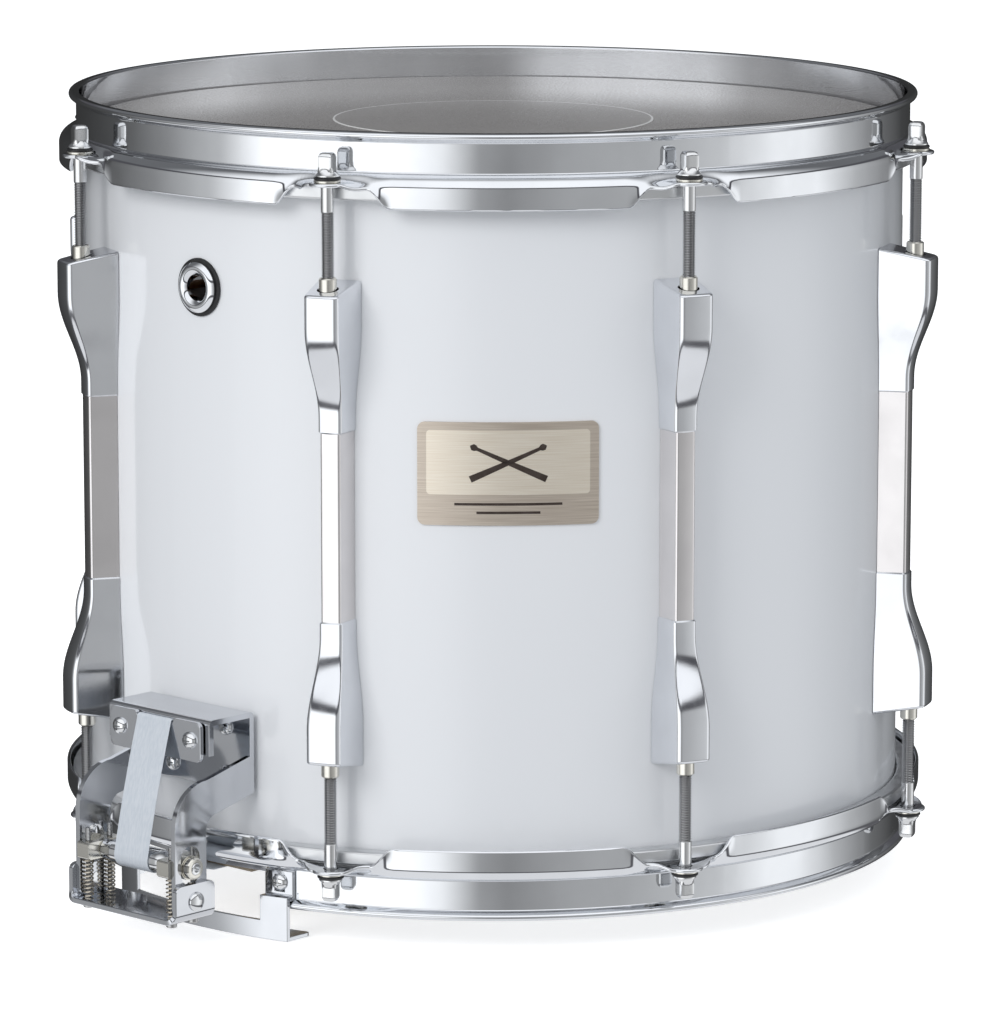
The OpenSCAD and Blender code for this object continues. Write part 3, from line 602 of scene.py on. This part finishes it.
def make_heads(coated, dotted, clear, aluminium):
    head_shape(Matrix()).piece("batter_film", coated, "drum", ["batter_head"])
    head_shape(UPSIDE_DOWN).piece("snare_film", clear, "drum", ["snare_head"])
    flesh_hoop_shape(Matrix()).piece("batter_flesh_ring", aluminium, "drum", ["batter_flesh_hoop"])
    flesh_hoop_shape(UPSIDE_DOWN).piece("snare_flesh_ring", aluminium, "drum", ["snare_flesh_hoop"])
    low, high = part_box("centre_dot")
    dot = Shape()
    dot.lathe([(0, low.z), (high.x, low.z), (high.x - 0.0001, high.z), (0, high.z)], steps=160)
    dot.piece("centre_dot_film", dotted, "drum", ["centre_dot"])


# ---- tension -------------------------------------------------------------
def add_thread(shape, place, low, high, crest, root, pitch, sides=16, per_turn=6):
    """A screw thread from low to high along place's +Z."""
    rings = []
    for k in range(int((high - low) / pitch * per_turn) + 1):
        ring = []
        for i in range(sides):
            turn = (k / per_turn - i / sides) % 1
            r = root + (crest - root) * (1 - abs(2 * turn - 1))
            a = 2 * math.pi * i / sides
            ring.append((r * math.cos(a), r * math.sin(a), low + k * pitch / per_turn))
        rings.append(ring)
    shape.skin(rings, place=place)


def squared(half, power, height, count=32):
    """A ring between a circle, power 2, and a square with rounded corners."""
    ring = []
    for i in range(count):
        a = 2 * math.pi * i / count
        r = half / (abs(math.cos(a)) ** power + abs(math.sin(a)) ** power) ** (1 / power)
        ring.append((r * math.cos(a), r * math.sin(a), height))
    return ring


def rod_shape(place):
    """One key rod, head up: thread, smooth shank, flared collar and square head."""
    low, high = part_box("top_rod_1")
    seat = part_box("black_washers")[1].z
    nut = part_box("swivel_nuts")[1].z
    rod_r, shank, half_key = 0.00275, SHANK, 0.0031
    root = rod_r - 0.00062
    shape = Shape()
    shape.lathe([(0, low.z), (root, low.z), (root, nut - 0.002), (0, nut - 0.002)], place, steps=24)
    add_thread(shape, place, nut - 0.0025, seat - shank, rod_r, root, 0.00106, 20, 8)
    shape.lathe([(0, seat - shank - 0.0006), (root, seat - shank - 0.0006), (rod_r, seat - shank),
                 (rod_r, seat + 0.0002), (0, seat + 0.0002)], place, steps=24)
    rings = [squared(r, 2, seat + h) for r, h in
             ((0.0047, 0), (0.0050, 0.0003), (0.0050, 0.0008), (0.0045, 0.0013), (0.0040, 0.0019))]
    top = high.z - seat
    rings += [squared(half_key + extra, power, seat + h) for extra, power, h in
              ((0.0005, 3, 0.0025), (0.0002, 5, 0.0032), (0, 9, 0.0042), (0, 9, top - 0.0022),
               (-0.0002, 8, top - 0.0012), (-0.0007, 6, top - 0.0004), (-0.0014, 4, top - 0.0001),
               (-0.0020, 3, top))]
    shape.skin(rings, place=place)
    return shape


def make_rods(steel):
    for i, angle in enumerate(ROD_ANGLES):
        spot = turned(angle) @ at(ROD_CIRCLE, 0, 0)
        number = i + 1
        rod_shape(spot).piece(f"key_rod_top_{number}", steel, f"top_rod_{number}_body",
                              [f"top_rod_{number}"])
        rod_shape(UPSIDE_DOWN @ spot).piece(f"key_rod_bottom_{number}", steel,
                                            f"bottom_rod_{number}_body", [f"bottom_rod_{number}"])


def make_rings(nickel, nylon, brass_nickel):
    """The washers under the rod heads and the swivel nuts in the lugs."""
    seats = (("washers_nickel", "nickel_washers", nickel), ("washers_black", "black_washers", nylon))
    for name, node, finish in seats:
        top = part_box(node)[1].z
        outer, bore, thick, bevel = 0.0056, 0.0030, 0.0011, 0.0003
        profile = [(bore, top - thick), (outer - bevel, top - thick), (outer, top - thick + bevel),
                   (outer, top - bevel), (outer - bevel, top), (bore, top)]
        shape = Shape()
        for angle in ROD_ANGLES:
            spot = turned(angle) @ at(ROD_CIRCLE, 0, 0)
            shape.lathe(profile, spot, closed=True)
            shape.lathe(profile, UPSIDE_DOWN @ spot, closed=True)
        shape.piece(name, finish, "drum", [node])
    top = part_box("swivel_nuts")[1].z
    nut_r, length, bevel = 0.00375, 0.018, 0.0005
    profile = [(0.0028, top - length), (nut_r, top - length), (nut_r, top - bevel),
               (nut_r - bevel, top), (0.0033, top), (0.0028, top - bevel)]
    shape = Shape()
    for angle in ROD_ANGLES:
        spot = turned(angle) @ at(ROD_CIRCLE, 0, 0)
        shape.lathe(profile, spot, closed=True)
        shape.lathe(profile, LUG_MIRROR @ spot, closed=True)
    shape.piece("swivel_nut_sleeves", brass_nickel, "drum", ["swivel_nuts"])


# ---- lugs ----------------------------------------------------------------
LUG_BACK = SHELL_R + 0.00005
LUG_MIRROR = (at(0, 0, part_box("upper_lug_castings")[1].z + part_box("lower_lug_castings")[0].z)
              @ Matrix.Scale(-1, 4, (0, 0, 1)))


def lug_outline(back_half, front_half, depth, corner, crown, inset=0.0):
    """A lug's section against the shell, as (x, y): rounded front corners and a crowned front."""
    b, f, d = back_half - inset, front_half - inset, depth - inset
    lean = math.degrees(math.atan2(b - f, d))
    side = [(0, -b)] + arc(d - corner, -f + corner, corner, -90 + lean, -4, 5)
    front = [(d + crown * (1 - (y / (f - corner)) ** 2), y)
             for y in ((f - corner) * k / 4 for k in range(-3, 4))]
    other = [(x, -y) for x, y in reversed(side)]
    return [(LUG_BACK + x, y) for x, y in side + front + other]


def lug_casting(shape, place):
    """The upper casting: a wide end that draws in and down to the tube's neck."""
    low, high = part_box("upper_lug_castings")
    slope, straight_foot, straight_head = 0.004, 0.006, 0.014
    front_top = high.z - slope
    neck = (0.0066, 0.0052, 0.0126)
    end = (0.0093, 0.0076, 0.0220)
    curve = front_top - straight_head - low.z - straight_foot
    heights = [low.z + 0.0006, low.z + straight_foot]
    heights += [low.z + straight_foot + curve * i / 22 for i in range(1, 23)] + [front_top - 0.004]
    rings = []
    for z in heights:
        t = smooth((z - low.z - straight_foot) / curve)
        size = [a + (b - a) * t for a, b in zip(neck, end)]
        rings.append([(x, y, z) for x, y in lug_outline(*size, 0.0016 + 0.0008 * t, 0.0003)])
    rings.insert(0, [(x, y, low.z) for x, y in lug_outline(*neck, 0.0016, 0.0003, 0.0005)])
    for down, inset in ((0.0013, 0), (0.0008, 0.0001), (0.0004, 0.0003), (0.0001, 0.0007), (0, 0.0012)):
        outline = lug_outline(*end, 0.0024, 0.0003, inset)
        rings.append([(x, y, high.z - down - slope * (x - LUG_BACK) / end[2]) for x, y in outline])
    shape.skin(rings, place=place)


def make_lugs(casting_chrome, tube_nickel):
    hole_r, hole_low, hole_high = 0.0045, 0.262, 0.285  # each nut's hole, from its floor to past the top
    for name, node, mirror in (("lug_ends_upper", "upper_lug_castings", Matrix()),
                               ("lug_ends_lower", "lower_lug_castings", LUG_MIRROR)):
        shape, bores = Shape(), Shape()
        for angle in ROD_ANGLES:
            lug_casting(shape, mirror @ turned(angle))
            bores.lathe([(0, hole_low), (hole_r, hole_low), (hole_r, hole_high), (0, hole_high)],
                        mirror @ turned(angle) @ at(ROD_CIRCLE, 0, 0), steps=32)
        shape.cut(bores)
        shape.piece(name, casting_chrome, "drum", [node], 32)
    low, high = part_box("lug_tubes")
    tubes = Shape()
    for angle in ROD_ANGLES:
        outline = lug_outline(0.0060, 0.0044, 0.0121, 0.0012, 0.0002)
        tubes.skin([[(x, y, z) for x, y in outline] for z in (low.z, high.z)], place=turned(angle))
    tubes.piece("lug_tubes_satin", tube_nickel, "drum", ["lug_tubes"])


# ---- vent and badge ------------------------------------------------------
def make_vent(chrome, rubber):
    low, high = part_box("vent_grommet")
    spot = UNITS["butt"] @ at(0, 0, (low.z + high.z) / 2) @ X_AXIS
    bore, barrel, flange = 0.00555, 0.0064, 0.01055
    face, inside = SHELL_R + 0.0011, SHELL_R - 0.0079
    dome = [(flange - 0.0050 * t, face + 0.0005 + 0.0019 * math.sin(math.pi * (0.08 + 0.84 * t)))
            for t in (i / 12 for i in range(13))]
    ring = Shape()
    ring.lathe([(bore, inside - 0.0015), (0.009, inside - 0.0015), (0.009, inside - 0.0005),
                (barrel, inside), (barrel, face), (flange - 0.0003, face), (flange, face + 0.0003)]
               + dome, spot, steps=64, closed=True)
    ring.piece("vent_ring", chrome, "drum", ["vent_grommet"])
    outer, thick = flange + 0.0016, 0.001
    gasket = Shape()
    gasket.lathe([(barrel, SHELL_R), (outer, SHELL_R)]
                 + arc(outer - 0.0004, SHELL_R + thick - 0.0004, 0.0004, 0, 90, 3)
                 + [(barrel, SHELL_R + thick)], spot, steps=64, closed=True)
    gasket.piece("vent_rubber", rubber, "drum", ["vent_gasket"])


def badge_finish(centre_z, half_w):
    """Brushed champagne metal: a darker frame round a paler panel with rounded corners."""
    def paint(t, place):
        split = t.node("SeparateXYZ", {0: place}).outputs
        across = t.math("ABSOLUTE", t.math("MULTIPLY", t.math(
            "ARCTAN2", split[0], t.math("MULTIPLY", split[1], -1)), SHELL_R))
        up = t.math("ABSOLUTE", t.math("SUBTRACT", split[2], centre_z + PANEL_RISE))
        corner = 0.0016
        dx = t.math("MAXIMUM", t.math("SUBTRACT", across, half_w - PANEL_INSET - corner), 0)
        dz = t.math("MAXIMUM", t.math("SUBTRACT", up, PANEL_HALF_H - corner), 0)
        beyond = t.math("SQRT", t.math("ADD", t.math("MULTIPLY", dx, dx), t.math("MULTIPLY", dz, dz)))
        frame_mask = t.between(beyond, corner - 0.0001, corner + 0.0001)
        lines = t.noise(t.stretched(place, (40, 40, 5000)), 1.0, 2.0)
        paler = t.mix(t.between(lines, 0.3, 0.7), (0.86, 0.76, 0.62), (0.97, 0.90, 0.78))
        darker = t.mix(t.between(lines, 0.3, 0.7), (0.55, 0.47, 0.39), (0.72, 0.64, 0.55))
        return {"Metallic": 0.7, "Base Color": t.mix(frame_mask, paler, darker),
                "Roughness": t.between(lines, 0.2, 0.8, 0.30, 0.42), "Normal": t.bump(lines, 0.1, 0.00005)}
    return new_material("badge_champagne", paint)


def on_shell(u, v, r):
    """The point u along the front of the shell and v up, at radius r."""
    return (r * math.sin(u / SHELL_R), -r * math.cos(u / SHELL_R), v)


PANEL_INSET, PANEL_RISE, PANEL_HALF_H = 0.0037, 0.0047, 0.0133


def make_badge(engraved):
    low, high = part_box("badge")
    centre_z, half_h = (low.z + high.z) / 2, (high.z - low.z) / 2
    half_w = SHELL_R * math.asin(high.x / (SHELL_R + 0.0009))
    corner, back, front = 0.003, SHELL_R + 0.00005, SHELL_R + 0.00085
    plate = Shape()
    rings = []
    side = half_h - corner
    rows = [side + corner * math.sin(math.pi / 2 * i / 6) for i in range(7)]
    for v in [-v for v in reversed(rows)] + [side * k / 4 for k in range(-3, 4)] + rows:
        over = max(0.0, abs(v) - side)
        w = half_w - corner + math.sqrt(max(0.0, corner ** 2 - over ** 2))
        us = [w * k / 20 for k in range(-20, 21)]
        ring = [on_shell(u, centre_z + v, front) for u in us]
        rings.append(ring + [on_shell(u, centre_z + v, back) for u in reversed(us)])
    plate.skin(rings)
    plate.piece("badge_plate", badge_finish(centre_z, half_w), "drum", ["badge"])
    mark = Shape()
    add_badge_mark(mark, centre_z, front)
    mark.piece("badge_motif", engraved, "drum", ["badge"])


def add_badge_mark(mark, centre_z, front):
    """A pair of crossed drumsticks in the panel, and two plain bars under it."""
    back, face = front - 0.0001, front + 0.00015
    length = 0.034
    for lean in (-1, 1):
        tilt = math.radians(24) * lean
        rings = []
        for i in range(33):
            t = i / 32
            bead = 0.0014 * math.sqrt(max(0.0, 1 - ((t - 0.955) / 0.045) ** 2))
            half = max(bead, 0.0014 - 0.0008 * t if t < 0.93 else 0.0002)
            along = lean * length * (t - 0.5)
            ring = []
            for side, r in ((-half, back), (-half, face), (half, face), (half, back)):
                u = along * math.cos(tilt) - side * math.sin(tilt)
                v = along * math.sin(tilt) + side * math.cos(tilt)
                ring.append(on_shell(u, centre_z + PANEL_RISE + v, r))
            rings.append(ring)
        mark.skin(rings)
    for half_len, v in ((0.0220, -0.0125), (0.0130, -0.0160)):
        mark.skin([[on_shell(half_len * k / 8, centre_z + v + dv, r) for dv, r in
                    ((-0.0005, back), (-0.0005, face), (0.0005, face), (0.0005, back))]
                   for k in range(-8, 9)])


# ---- snare units ---------------------------------------------------------
def lying_x(d):
    return abs(d.x) > 0.9


def lying_y(d):
    return abs(d.y) > 0.9


def pressed(node, name, finish, body, rounded, edge, turn=Matrix(), sharp=30):
    """A piece made from a CAD node: rounded lists (width, segments, where), edge is the last easing."""
    shape = Shape()
    shape.copy_node(node)
    for width, segments, where in rounded:
        shape.ease(width, segments, where, turn)
    shape.ease(*edge)
    shape.piece(name, finish, body, [node], sharp)


def near_solids(node, turn):
    """The solids of a node that belong to the unit seen in the frame turned by turn."""
    return [box for box in solids(node, turn) if box[1].x >= 0.1]


def make_bracket(unit, chrome):
    shelf_z = 0.095
    pressed(f"{unit}_bracket", f"{unit}_bracket_pressed", chrome, "drum",
            [(0.0021, 5, lambda m, d: lying_y(d) and abs(m.z - shelf_z) < 1e-4),
             (0.0035, 6, lambda m, d: lying_y(d) and m.z < 0.016)], (0.00035, 2), UNITS[unit])


def make_clamp(unit, node, body, chrome):
    turn = UNITS[unit]
    half = max(abs(v) for box in solids(node, turn) for v in (box[0].y, box[1].y))
    pressed(node, f"{node}_pressed", chrome, body,
            [(0.0026, 5, lambda m, d: lying_x(d) and abs(abs(m.y) - half) < 1e-4),
             (0.0012, 4, lambda m, d: lying_x(d) and 0.010 < abs(m.y) < 0.012)], (0.0003, 2), turn)


def bent_sheet(shape, path, widths, thick, place):
    """A strip of sheet metal along a (y, z) path; widths(i) gives its two edges' x at each point."""
    rings = []
    bevel = 0.0003
    for i, (y, z) in enumerate(path):
        a, b = path[max(i - 1, 0)], path[min(i + 1, len(path) - 1)]
        ahead = Vector((b[0] - a[0], b[1] - a[1])).normalized()
        x0, x1 = widths(i)
        ring = []
        for x, side in ((x0, -1), (x0 + bevel, -1), (x1 - bevel, -1), (x1, -1),
                        (x1, 1), (x1 - bevel, 1), (x0 + bevel, 1), (x0, 1)):
            out = side * (thick / 2 - (bevel if x in (x0, x1) else 0))
            ring.append((x, y - ahead.y * out, z + ahead.x * out))
        rings.append(ring)
    shape.skin(rings, place=place)


def make_u_frames(chrome):
    """Both U-shaped feet of the brackets: rounded bends, ears with rounded corners."""
    shape = Shape()
    for turn in UNITS.values():
        low, high = max(solids("u_frames", turn), key=lambda box: box[0].x)
        thick, bend, corner = 0.0024, 0.0036, 0.0030
        y, floor, top = high.y - thick / 2, low.z + thick / 2, high.z
        ear_top = [top - corner * (1 - math.cos(math.pi / 2 * i / 8)) for i in range(9)]
        left = [(-y, z) for z in ear_top] + [(-y, top - corner - 0.002)]
        left += arc(-y + bend, floor + bend, bend, 180, 270, 8)
        path = left + [(0, floor)] + [(-a, b) for a, b in reversed(left)]
        ear_x = 0.0225

        def widths(i):
            z = path[i][1]
            into = max(0.0, z - (top - corner))
            trim = corner - math.sqrt(max(0.0, corner ** 2 - into ** 2))
            reach = high.x - low.x - ear_x
            wide = low.x + ear_x + reach * smooth(1 - (z - floor) / bend)
            return low.x + trim, wide - trim

        bent_sheet(shape, path, widths, thick, turn)
    shape.piece("u_frames_pressed", chrome, "drum", ["u_frames"], 30)


def make_guards(chrome):
    for unit, turn in UNITS.items():
        node = f"{unit}_snare_guard"
        pressed(node, f"{node}_pressed", chrome, "drum",
                [(0.0025, 4, lambda m, d: abs(d.z) > 0.9 and m.z < 0.002 and m.x < 0.175)],
                (0.0003, 2), turn)


GUARD_FACE = 0.1828                                 # outside of a guard's legs


def add_round_screw(head, slots, place, shank, tip):
    """A round-head screw along +Z of place, its head's seat at 0, and the cross cut in it."""
    dome = [(0.0036 * math.cos(a), 0.0004 + 0.0020 * math.sin(a))
            for a in (math.pi / 2 * i / 8 for i in range(9))]
    head.lathe([(0, -shank), (tip, -shank), (tip, 0), (0.0036, 0)] + dome[:-1] + [(0, 0.0024)],
               place, steps=32)
    long, half, depth = 0.0019, 0.00035, 0.0011
    quarter = [(half, half), (half, long), (-half, long)]
    cross = [(x * math.cos(a) - y * math.sin(a), x * math.sin(a) + y * math.cos(a))
             for a in (math.pi / 2 * i for i in range(4)) for x, y in quarter]
    slots.skin([[(x, y, z) for x, y in cross] for z in (depth, 0.004)], place=place)


def screw_spots(node, unit):
    """Where each screw of a node stands in this unit: its head's seat, facing outward."""
    turn = UNITS[unit]
    seat_depth, guard_top = 0.0024, 0.035
    spots = []
    for box in near_solids(node, turn):
        centre = middle(box)
        if box[1].z < guard_top:                    # guard screws face straight out from the axis
            sideways = math.atan2(centre.y, centre.x)
            spot = turn @ turned(sideways) @ at(GUARD_FACE, 0, centre.z) @ X_AXIS
        else:
            spot = turn @ at(box[1].x - seat_depth, centre.y, centre.z) @ X_AXIS
        spots.append(spot)
    return spots


def make_screws(chrome):
    shank, shank_r = 0.0045, 0.0019
    for name, node, body, units in (
            ("cross_head_screws", "round_head_screws", "drum", UNITS),
            ("throwoff_cross_screws", "throwoff_clamp_screws", "throwoff_carriage_body", ["throwoff"])):
        heads, slots = Shape(), Shape()
        for unit in units:
            for spot in screw_spots(node, unit):
                add_round_screw(heads, slots, spot, shank, shank_r)
        heads.cut(slots)
        heads.piece(name, chrome, body, [node], 30)


def make_rivets(chrome):
    rivets = Shape()
    for turn in UNITS.values():
        for low, high in near_solids("u_frame_rivets", turn):
            side = 1 if high.y > 0 else -1
            centre = (low + high) / 2
            tip = max(abs(low.y), abs(high.y))
            spot = turn @ at(centre.x, side * (tip - 0.0018), centre.z) @ Matrix.Rotation(
                -side * math.pi / 2, 4, "X")
            dome = [(0.004 * math.cos(a), 0.0004 + 0.0014 * math.sin(a))
                    for a in (math.pi / 2 * i / 8 for i in range(8))]
            rivets.lathe([(0, -0.0051), (0.0025, -0.0051), (0.0025, 0), (0.004, 0)] + dome
                         + [(0, 0.0018)], spot, steps=32)
    rivets.piece("u_frame_rivet_heads", chrome, "drum", ["u_frame_rivets"])


def make_height_screws(steel, brass):
    screws = Shape()
    springs = {unit: Shape() for unit in UNITS}
    wire, coils, steps = 0.00036, 9.5, 16
    for unit, turn in UNITS.items():
        for low, high in near_solids("height_screws", turn):
            spot = turn @ at((low.x + high.x) / 2, (low.y + high.y) / 2, 0)
            head = 0.0022
            screws.lathe([(0, low.z), (0.0019, low.z), (0.0023, low.z + 0.0004),
                          (0.0023, low.z + head), (0, low.z + head)], spot, steps=24)
            add_thread(screws, spot, low.z + head, high.z, 0.0012, 0.00095, 0.0006, 10, 5)
        for low, high in near_solids("height_springs", turn):
            r = (high.x - low.x) / 2 - wire
            x, y = (low.x + high.x) / 2, (low.y + high.y) / 2
            rise = high.z - low.z - 2 * wire
            count = int(coils * steps)
            path = [turn @ Vector((x + r * math.cos(2 * math.pi * k / steps),
                                   y + r * math.sin(2 * math.pi * k / steps),
                                   low.z + wire + rise * k / count)) for k in range(count + 1)]
            springs[unit].tube(path, wire, 7)
    screws.piece("height_screws_threaded", steel, "drum", ["height_screws"])
    low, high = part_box("height_springs")
    for unit, shape in springs.items():
        shape.piece(f"{unit}_coil_springs", brass, ("drum", f"{unit}_roller_body", (0, 0, low.z),
                                                    (0, 0, high.z)), ["height_springs"])


def make_roller(unit, chrome, nickel):
    """The roller with its axle, its slide blocks and the nuts outside the legs."""
    turn = UNITS[unit]
    body = f"{unit}_roller_body"
    low, high = solids(f"{unit}_roller", turn)[0]
    centre = (low + high) / 2
    spot = turn @ at(centre.x, 0, centre.z) @ Y_AXIS
    big, axle, end, barrel = (high.z - low.z) / 2, 0.0025, high.y, 0.0203
    small = big - 0.0009
    profile = [(0, end - 0.0022), (0.0014, end - 0.0022), (0.0014, end), (axle - 0.0003, end),
               (axle, end - 0.0003), (axle, barrel), (small - 0.0004, barrel), (small, barrel - 0.0004)]
    crown = [(small + (big - small) * smooth(i / 6), barrel - 0.0010 - 0.0060 * i / 6) for i in range(7)]
    half = profile + crown
    roller = Shape()
    roller.lathe(half + [(r, -y) for r, y in reversed(half)], spot, steps=56)
    roller.piece(f"{unit}_crowned_roller", chrome, body, [f"{unit}_roller"], 28)
    pressed(f"{unit}_slide_blocks", f"{unit}_blocks", nickel, body,
            [(0.0012, 4, lambda m, d: lying_y(d) and abs(abs(m.x - centre.x) - 0.0102) < 1e-4)],
            (0.00025, 2), turn)
    nuts = Shape()
    for low, high in solids(f"{unit}_axle_nuts", turn):
        inner, outer = min(abs(low.y), abs(high.y)), max(abs(low.y), abs(high.y))
        side = 1 if high.y > 0 else -1
        place = turn @ at(centre.x, 0, centre.z) @ Matrix.Rotation(-side * math.pi / 2, 4, "X")
        nuts.lathe([(axle + 0.0001, inner), (0.0046, inner), (0.0046, outer - 0.0006),
                    (0.0041, outer - 0.0001), (0.0034, outer), (axle + 0.0001, outer)],
                   place, steps=40, closed=True)
    nuts.piece(f"{unit}_axle_collars", nickel, body, [f"{unit}_axle_nuts"], 28)


def strap_path(unit):
    """The strap's middle line in its unit's frame: clamp, fall, round the roller, in to the snares."""
    turn = UNITS[unit]
    face = solids(f"{unit}_clamp_plate", turn)[0]
    roller = solids(f"{unit}_roller", turn)[0]
    centre = (roller[0] + roller[1]) / 2
    r = (roller[1].z - roller[0].z) / 2 + 0.00035
    out_x, in_x = face[1].x + 0.00035, face[0].x - 0.00035
    top = 0.0930
    half = (out_x - in_x) / 2
    over = [(in_x, top - 0.014), (in_x, top - half)]
    over += [(x, z) for x, z in arc((in_x + out_x) / 2, top - half, half, 180, 12, 8)]
    start = (out_x, top - half)
    lead = (centre.x + r * math.cos(math.radians(12)), centre.z + r * math.sin(math.radians(12)))
    fall = [(start[0] + (lead[0] - start[0]) * t + 0.0006 * math.sin(math.pi * t),
             start[1] + (lead[1] - start[1]) * t) for t in (i / 24 for i in range(1, 24))]
    around = arc(centre.x, centre.z, r, 12, -92, 14)
    snares = solids("snare_end_plates", turn)
    plate = max(snares, key=lambda b: b[1].x)
    low_z = plate[0].z - 0.0003
    end = (plate[0].x + 0.003, low_z)
    turn_in = (plate[1].x + 0.006, low_z)
    leave = around[-1]
    back = [blend_points([leave], [turn_in], t)[0] for t in (i / 12 for i in range(1, 12))]
    back = [(x, z + 0.0012 * math.sin(math.pi * (leave[0] - x) / (leave[0] - turn_in[0]))) for x, z in back]
    tail = [turn_in, ((turn_in[0] + end[0]) / 2, low_z), end]
    return over, fall, around, back + tail


def ribbon(path, turn, half_w=0.0100, thick=0.0005):
    """A flat strap along an (x, z) path, with softened edges."""
    rings = []
    for i, (x, z) in enumerate(path):
        a, b = path[max(i - 1, 0)], path[min(i + 1, len(path) - 1)]
        ahead = Vector((b[0] - a[0], b[1] - a[1])).normalized()
        nx, nz = -ahead.y * thick / 2, ahead.x * thick / 2
        ring = []
        for y, side in ((-half_w, 0.3), (-half_w + 0.0003, 1), (half_w - 0.0003, 1), (half_w, 0.3),
                        (half_w, -0.3), (half_w - 0.0003, -1), (-half_w + 0.0003, -1), (-half_w, -0.3)):
            ring.append((x + nx * side, y, z + nz * side))
        rings.append(ring)
    shape = Shape()
    shape.skin(rings, place=turn)
    return shape


def make_straps(plastic_strap):
    for unit, turn in UNITS.items():
        over, fall, around, back = strap_path(unit)
        roller_body = f"{unit}_roller_body"
        node = f"{unit}_strap"
        high_z, low_z = fall[2][1], fall[-2][1]
        bend_end = turn @ Vector((around[-1][0], 0, 0))
        bend_start = turn @ Vector((back[-4][0], 0, 0))
        if unit == "butt":
            front = over + fall + around
            ribbon(front, turn).piece("butt_strap_front", plastic_strap, (
                "drum", roller_body, (0, 0, high_z), (0, 0, low_z)), [node])
        else:
            split = 11
            middle_z = fall[split][1]
            ribbon(over + fall[:split + 1], turn).piece("throwoff_strap_top", plastic_strap, (
                "throwoff_carriage_body", "drum", (0, 0, high_z), (0, 0, middle_z)), [node])
            ribbon(fall[split:] + around, turn).piece("throwoff_strap_front", plastic_strap, (
                "drum", roller_body, (0, 0, middle_z), (0, 0, low_z)), [node])
        ribbon([around[-1]] + back, turn).piece(f"{unit}_strap_rear", plastic_strap, (
            "drum", roller_body, bend_start, bend_end), [node])


def make_throwoff(chrome, bright):
    """The throw-off's sliding carriage and its lever."""
    turn = UNITS["throwoff"]
    for node, body in (("throwoff_carriage", "throwoff_carriage_body"),
                       ("throwoff_lever", "throwoff_lever_body")):
        half = max(abs(box[1].y) for box in solids(node, turn))
        pressed(node, f"{node}_pressed", chrome, body,
                [(0.0024, 5, lambda m, d: lying_x(d) and abs(abs(m.y) - half) < 1e-4)], (0.0003, 2), turn)
    NODES["throwoff_lever_pins"].material_slots[0].material = bright


def make_snares(gut, plate_gut):
    turn = UNITS["butt"]
    strands = Shape()
    for a, b in solids("snare_strands", turn):
        y, z, r = (a.y + b.y) / 2, (a.z + b.z) / 2, (b.z - a.z) / 2
        ends = [(a.x + (b.x - a.x) * k / 4, y, z) for k in range(5)]
        strands.tube([turn @ Vector(p) for p in ends], r, 8)
    strands.piece("snare_gut_strands", gut, "drum", ["snare_strands"])
    pressed("snare_end_plates", "snare_gut_plates", plate_gut, "drum", [], (0.0005, 3), sharp=35)


# ---- everything ----------------------------------------------------------
def dress():
    hoop_chrome = plated("hoop_chrome", (0.80, 0.815, 0.84), 0.045, 0.03)
    casting_chrome = plated("casting_chrome", (0.80, 0.815, 0.845), 0.09, 0.05, 0.03)
    sheet_chrome = plated("sheet_chrome", (0.66, 0.675, 0.705), 0.07, 0.05, 0.02)
    bright = plated("screw_chrome", (0.80, 0.81, 0.82), 0.06, 0.04)
    nickel = plated("nickel", (0.76, 0.74, 0.68), 0.12, 0.08)
    rod_steel = rod_finish()
    steel = plated("zinc_steel", (0.50, 0.50, 0.50), 0.25, 0.1)
    brass = plated("spring_brass", (0.66, 0.60, 0.50), 0.25, 0.1)
    make_hoops(hoop_chrome)
    make_heads(head_finish("coated_head", (0.285, 0.272, 0.264), 0.17),
               head_finish("dot_film", (0.31, 0.298, 0.290), 0.17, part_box("centre_dot")[1].x),
               clear_film(), plated("flesh_aluminium", (0.72, 0.73, 0.74), 0.3, 0.1))
    make_rods(rod_steel)
    make_rings(nickel, plastic("black_nylon", (0.012, 0.012, 0.013), 0.35), nickel)
    make_lugs(casting_chrome, plated("tube_satin", (0.80, 0.775, 0.775), 0.17, 0.05))
    make_vent(hoop_chrome, plastic("black_rubber", (0.010, 0.010, 0.011), 0.45))
    make_badge(plastic("badge_ink", (0.035, 0.022, 0.016), 0.35))
    for unit in UNITS:
        make_bracket(unit, sheet_chrome)
        make_roller(unit, bright, nickel)
    make_clamp("butt", "butt_clamp_plate", "drum", sheet_chrome)
    make_clamp("throwoff", "throwoff_clamp_plate", "throwoff_carriage_body", sheet_chrome)
    make_u_frames(sheet_chrome)
    make_guards(sheet_chrome)
    make_screws(bright)
    make_rivets(bright)
    make_height_screws(steel, brass)
    make_straps(strap_finish())
    make_throwoff(sheet_chrome, bright)
    make_snares(gut_finish(), plastic("gut_plate_plastic", (0.42, 0.34, 0.25), 0.5))
    NODES["shell"].material_slots[0].material = shell_finish()
    NODES["lug_screws"].material_slots[0].material = steel


add_camera()
add_studio()
dress()
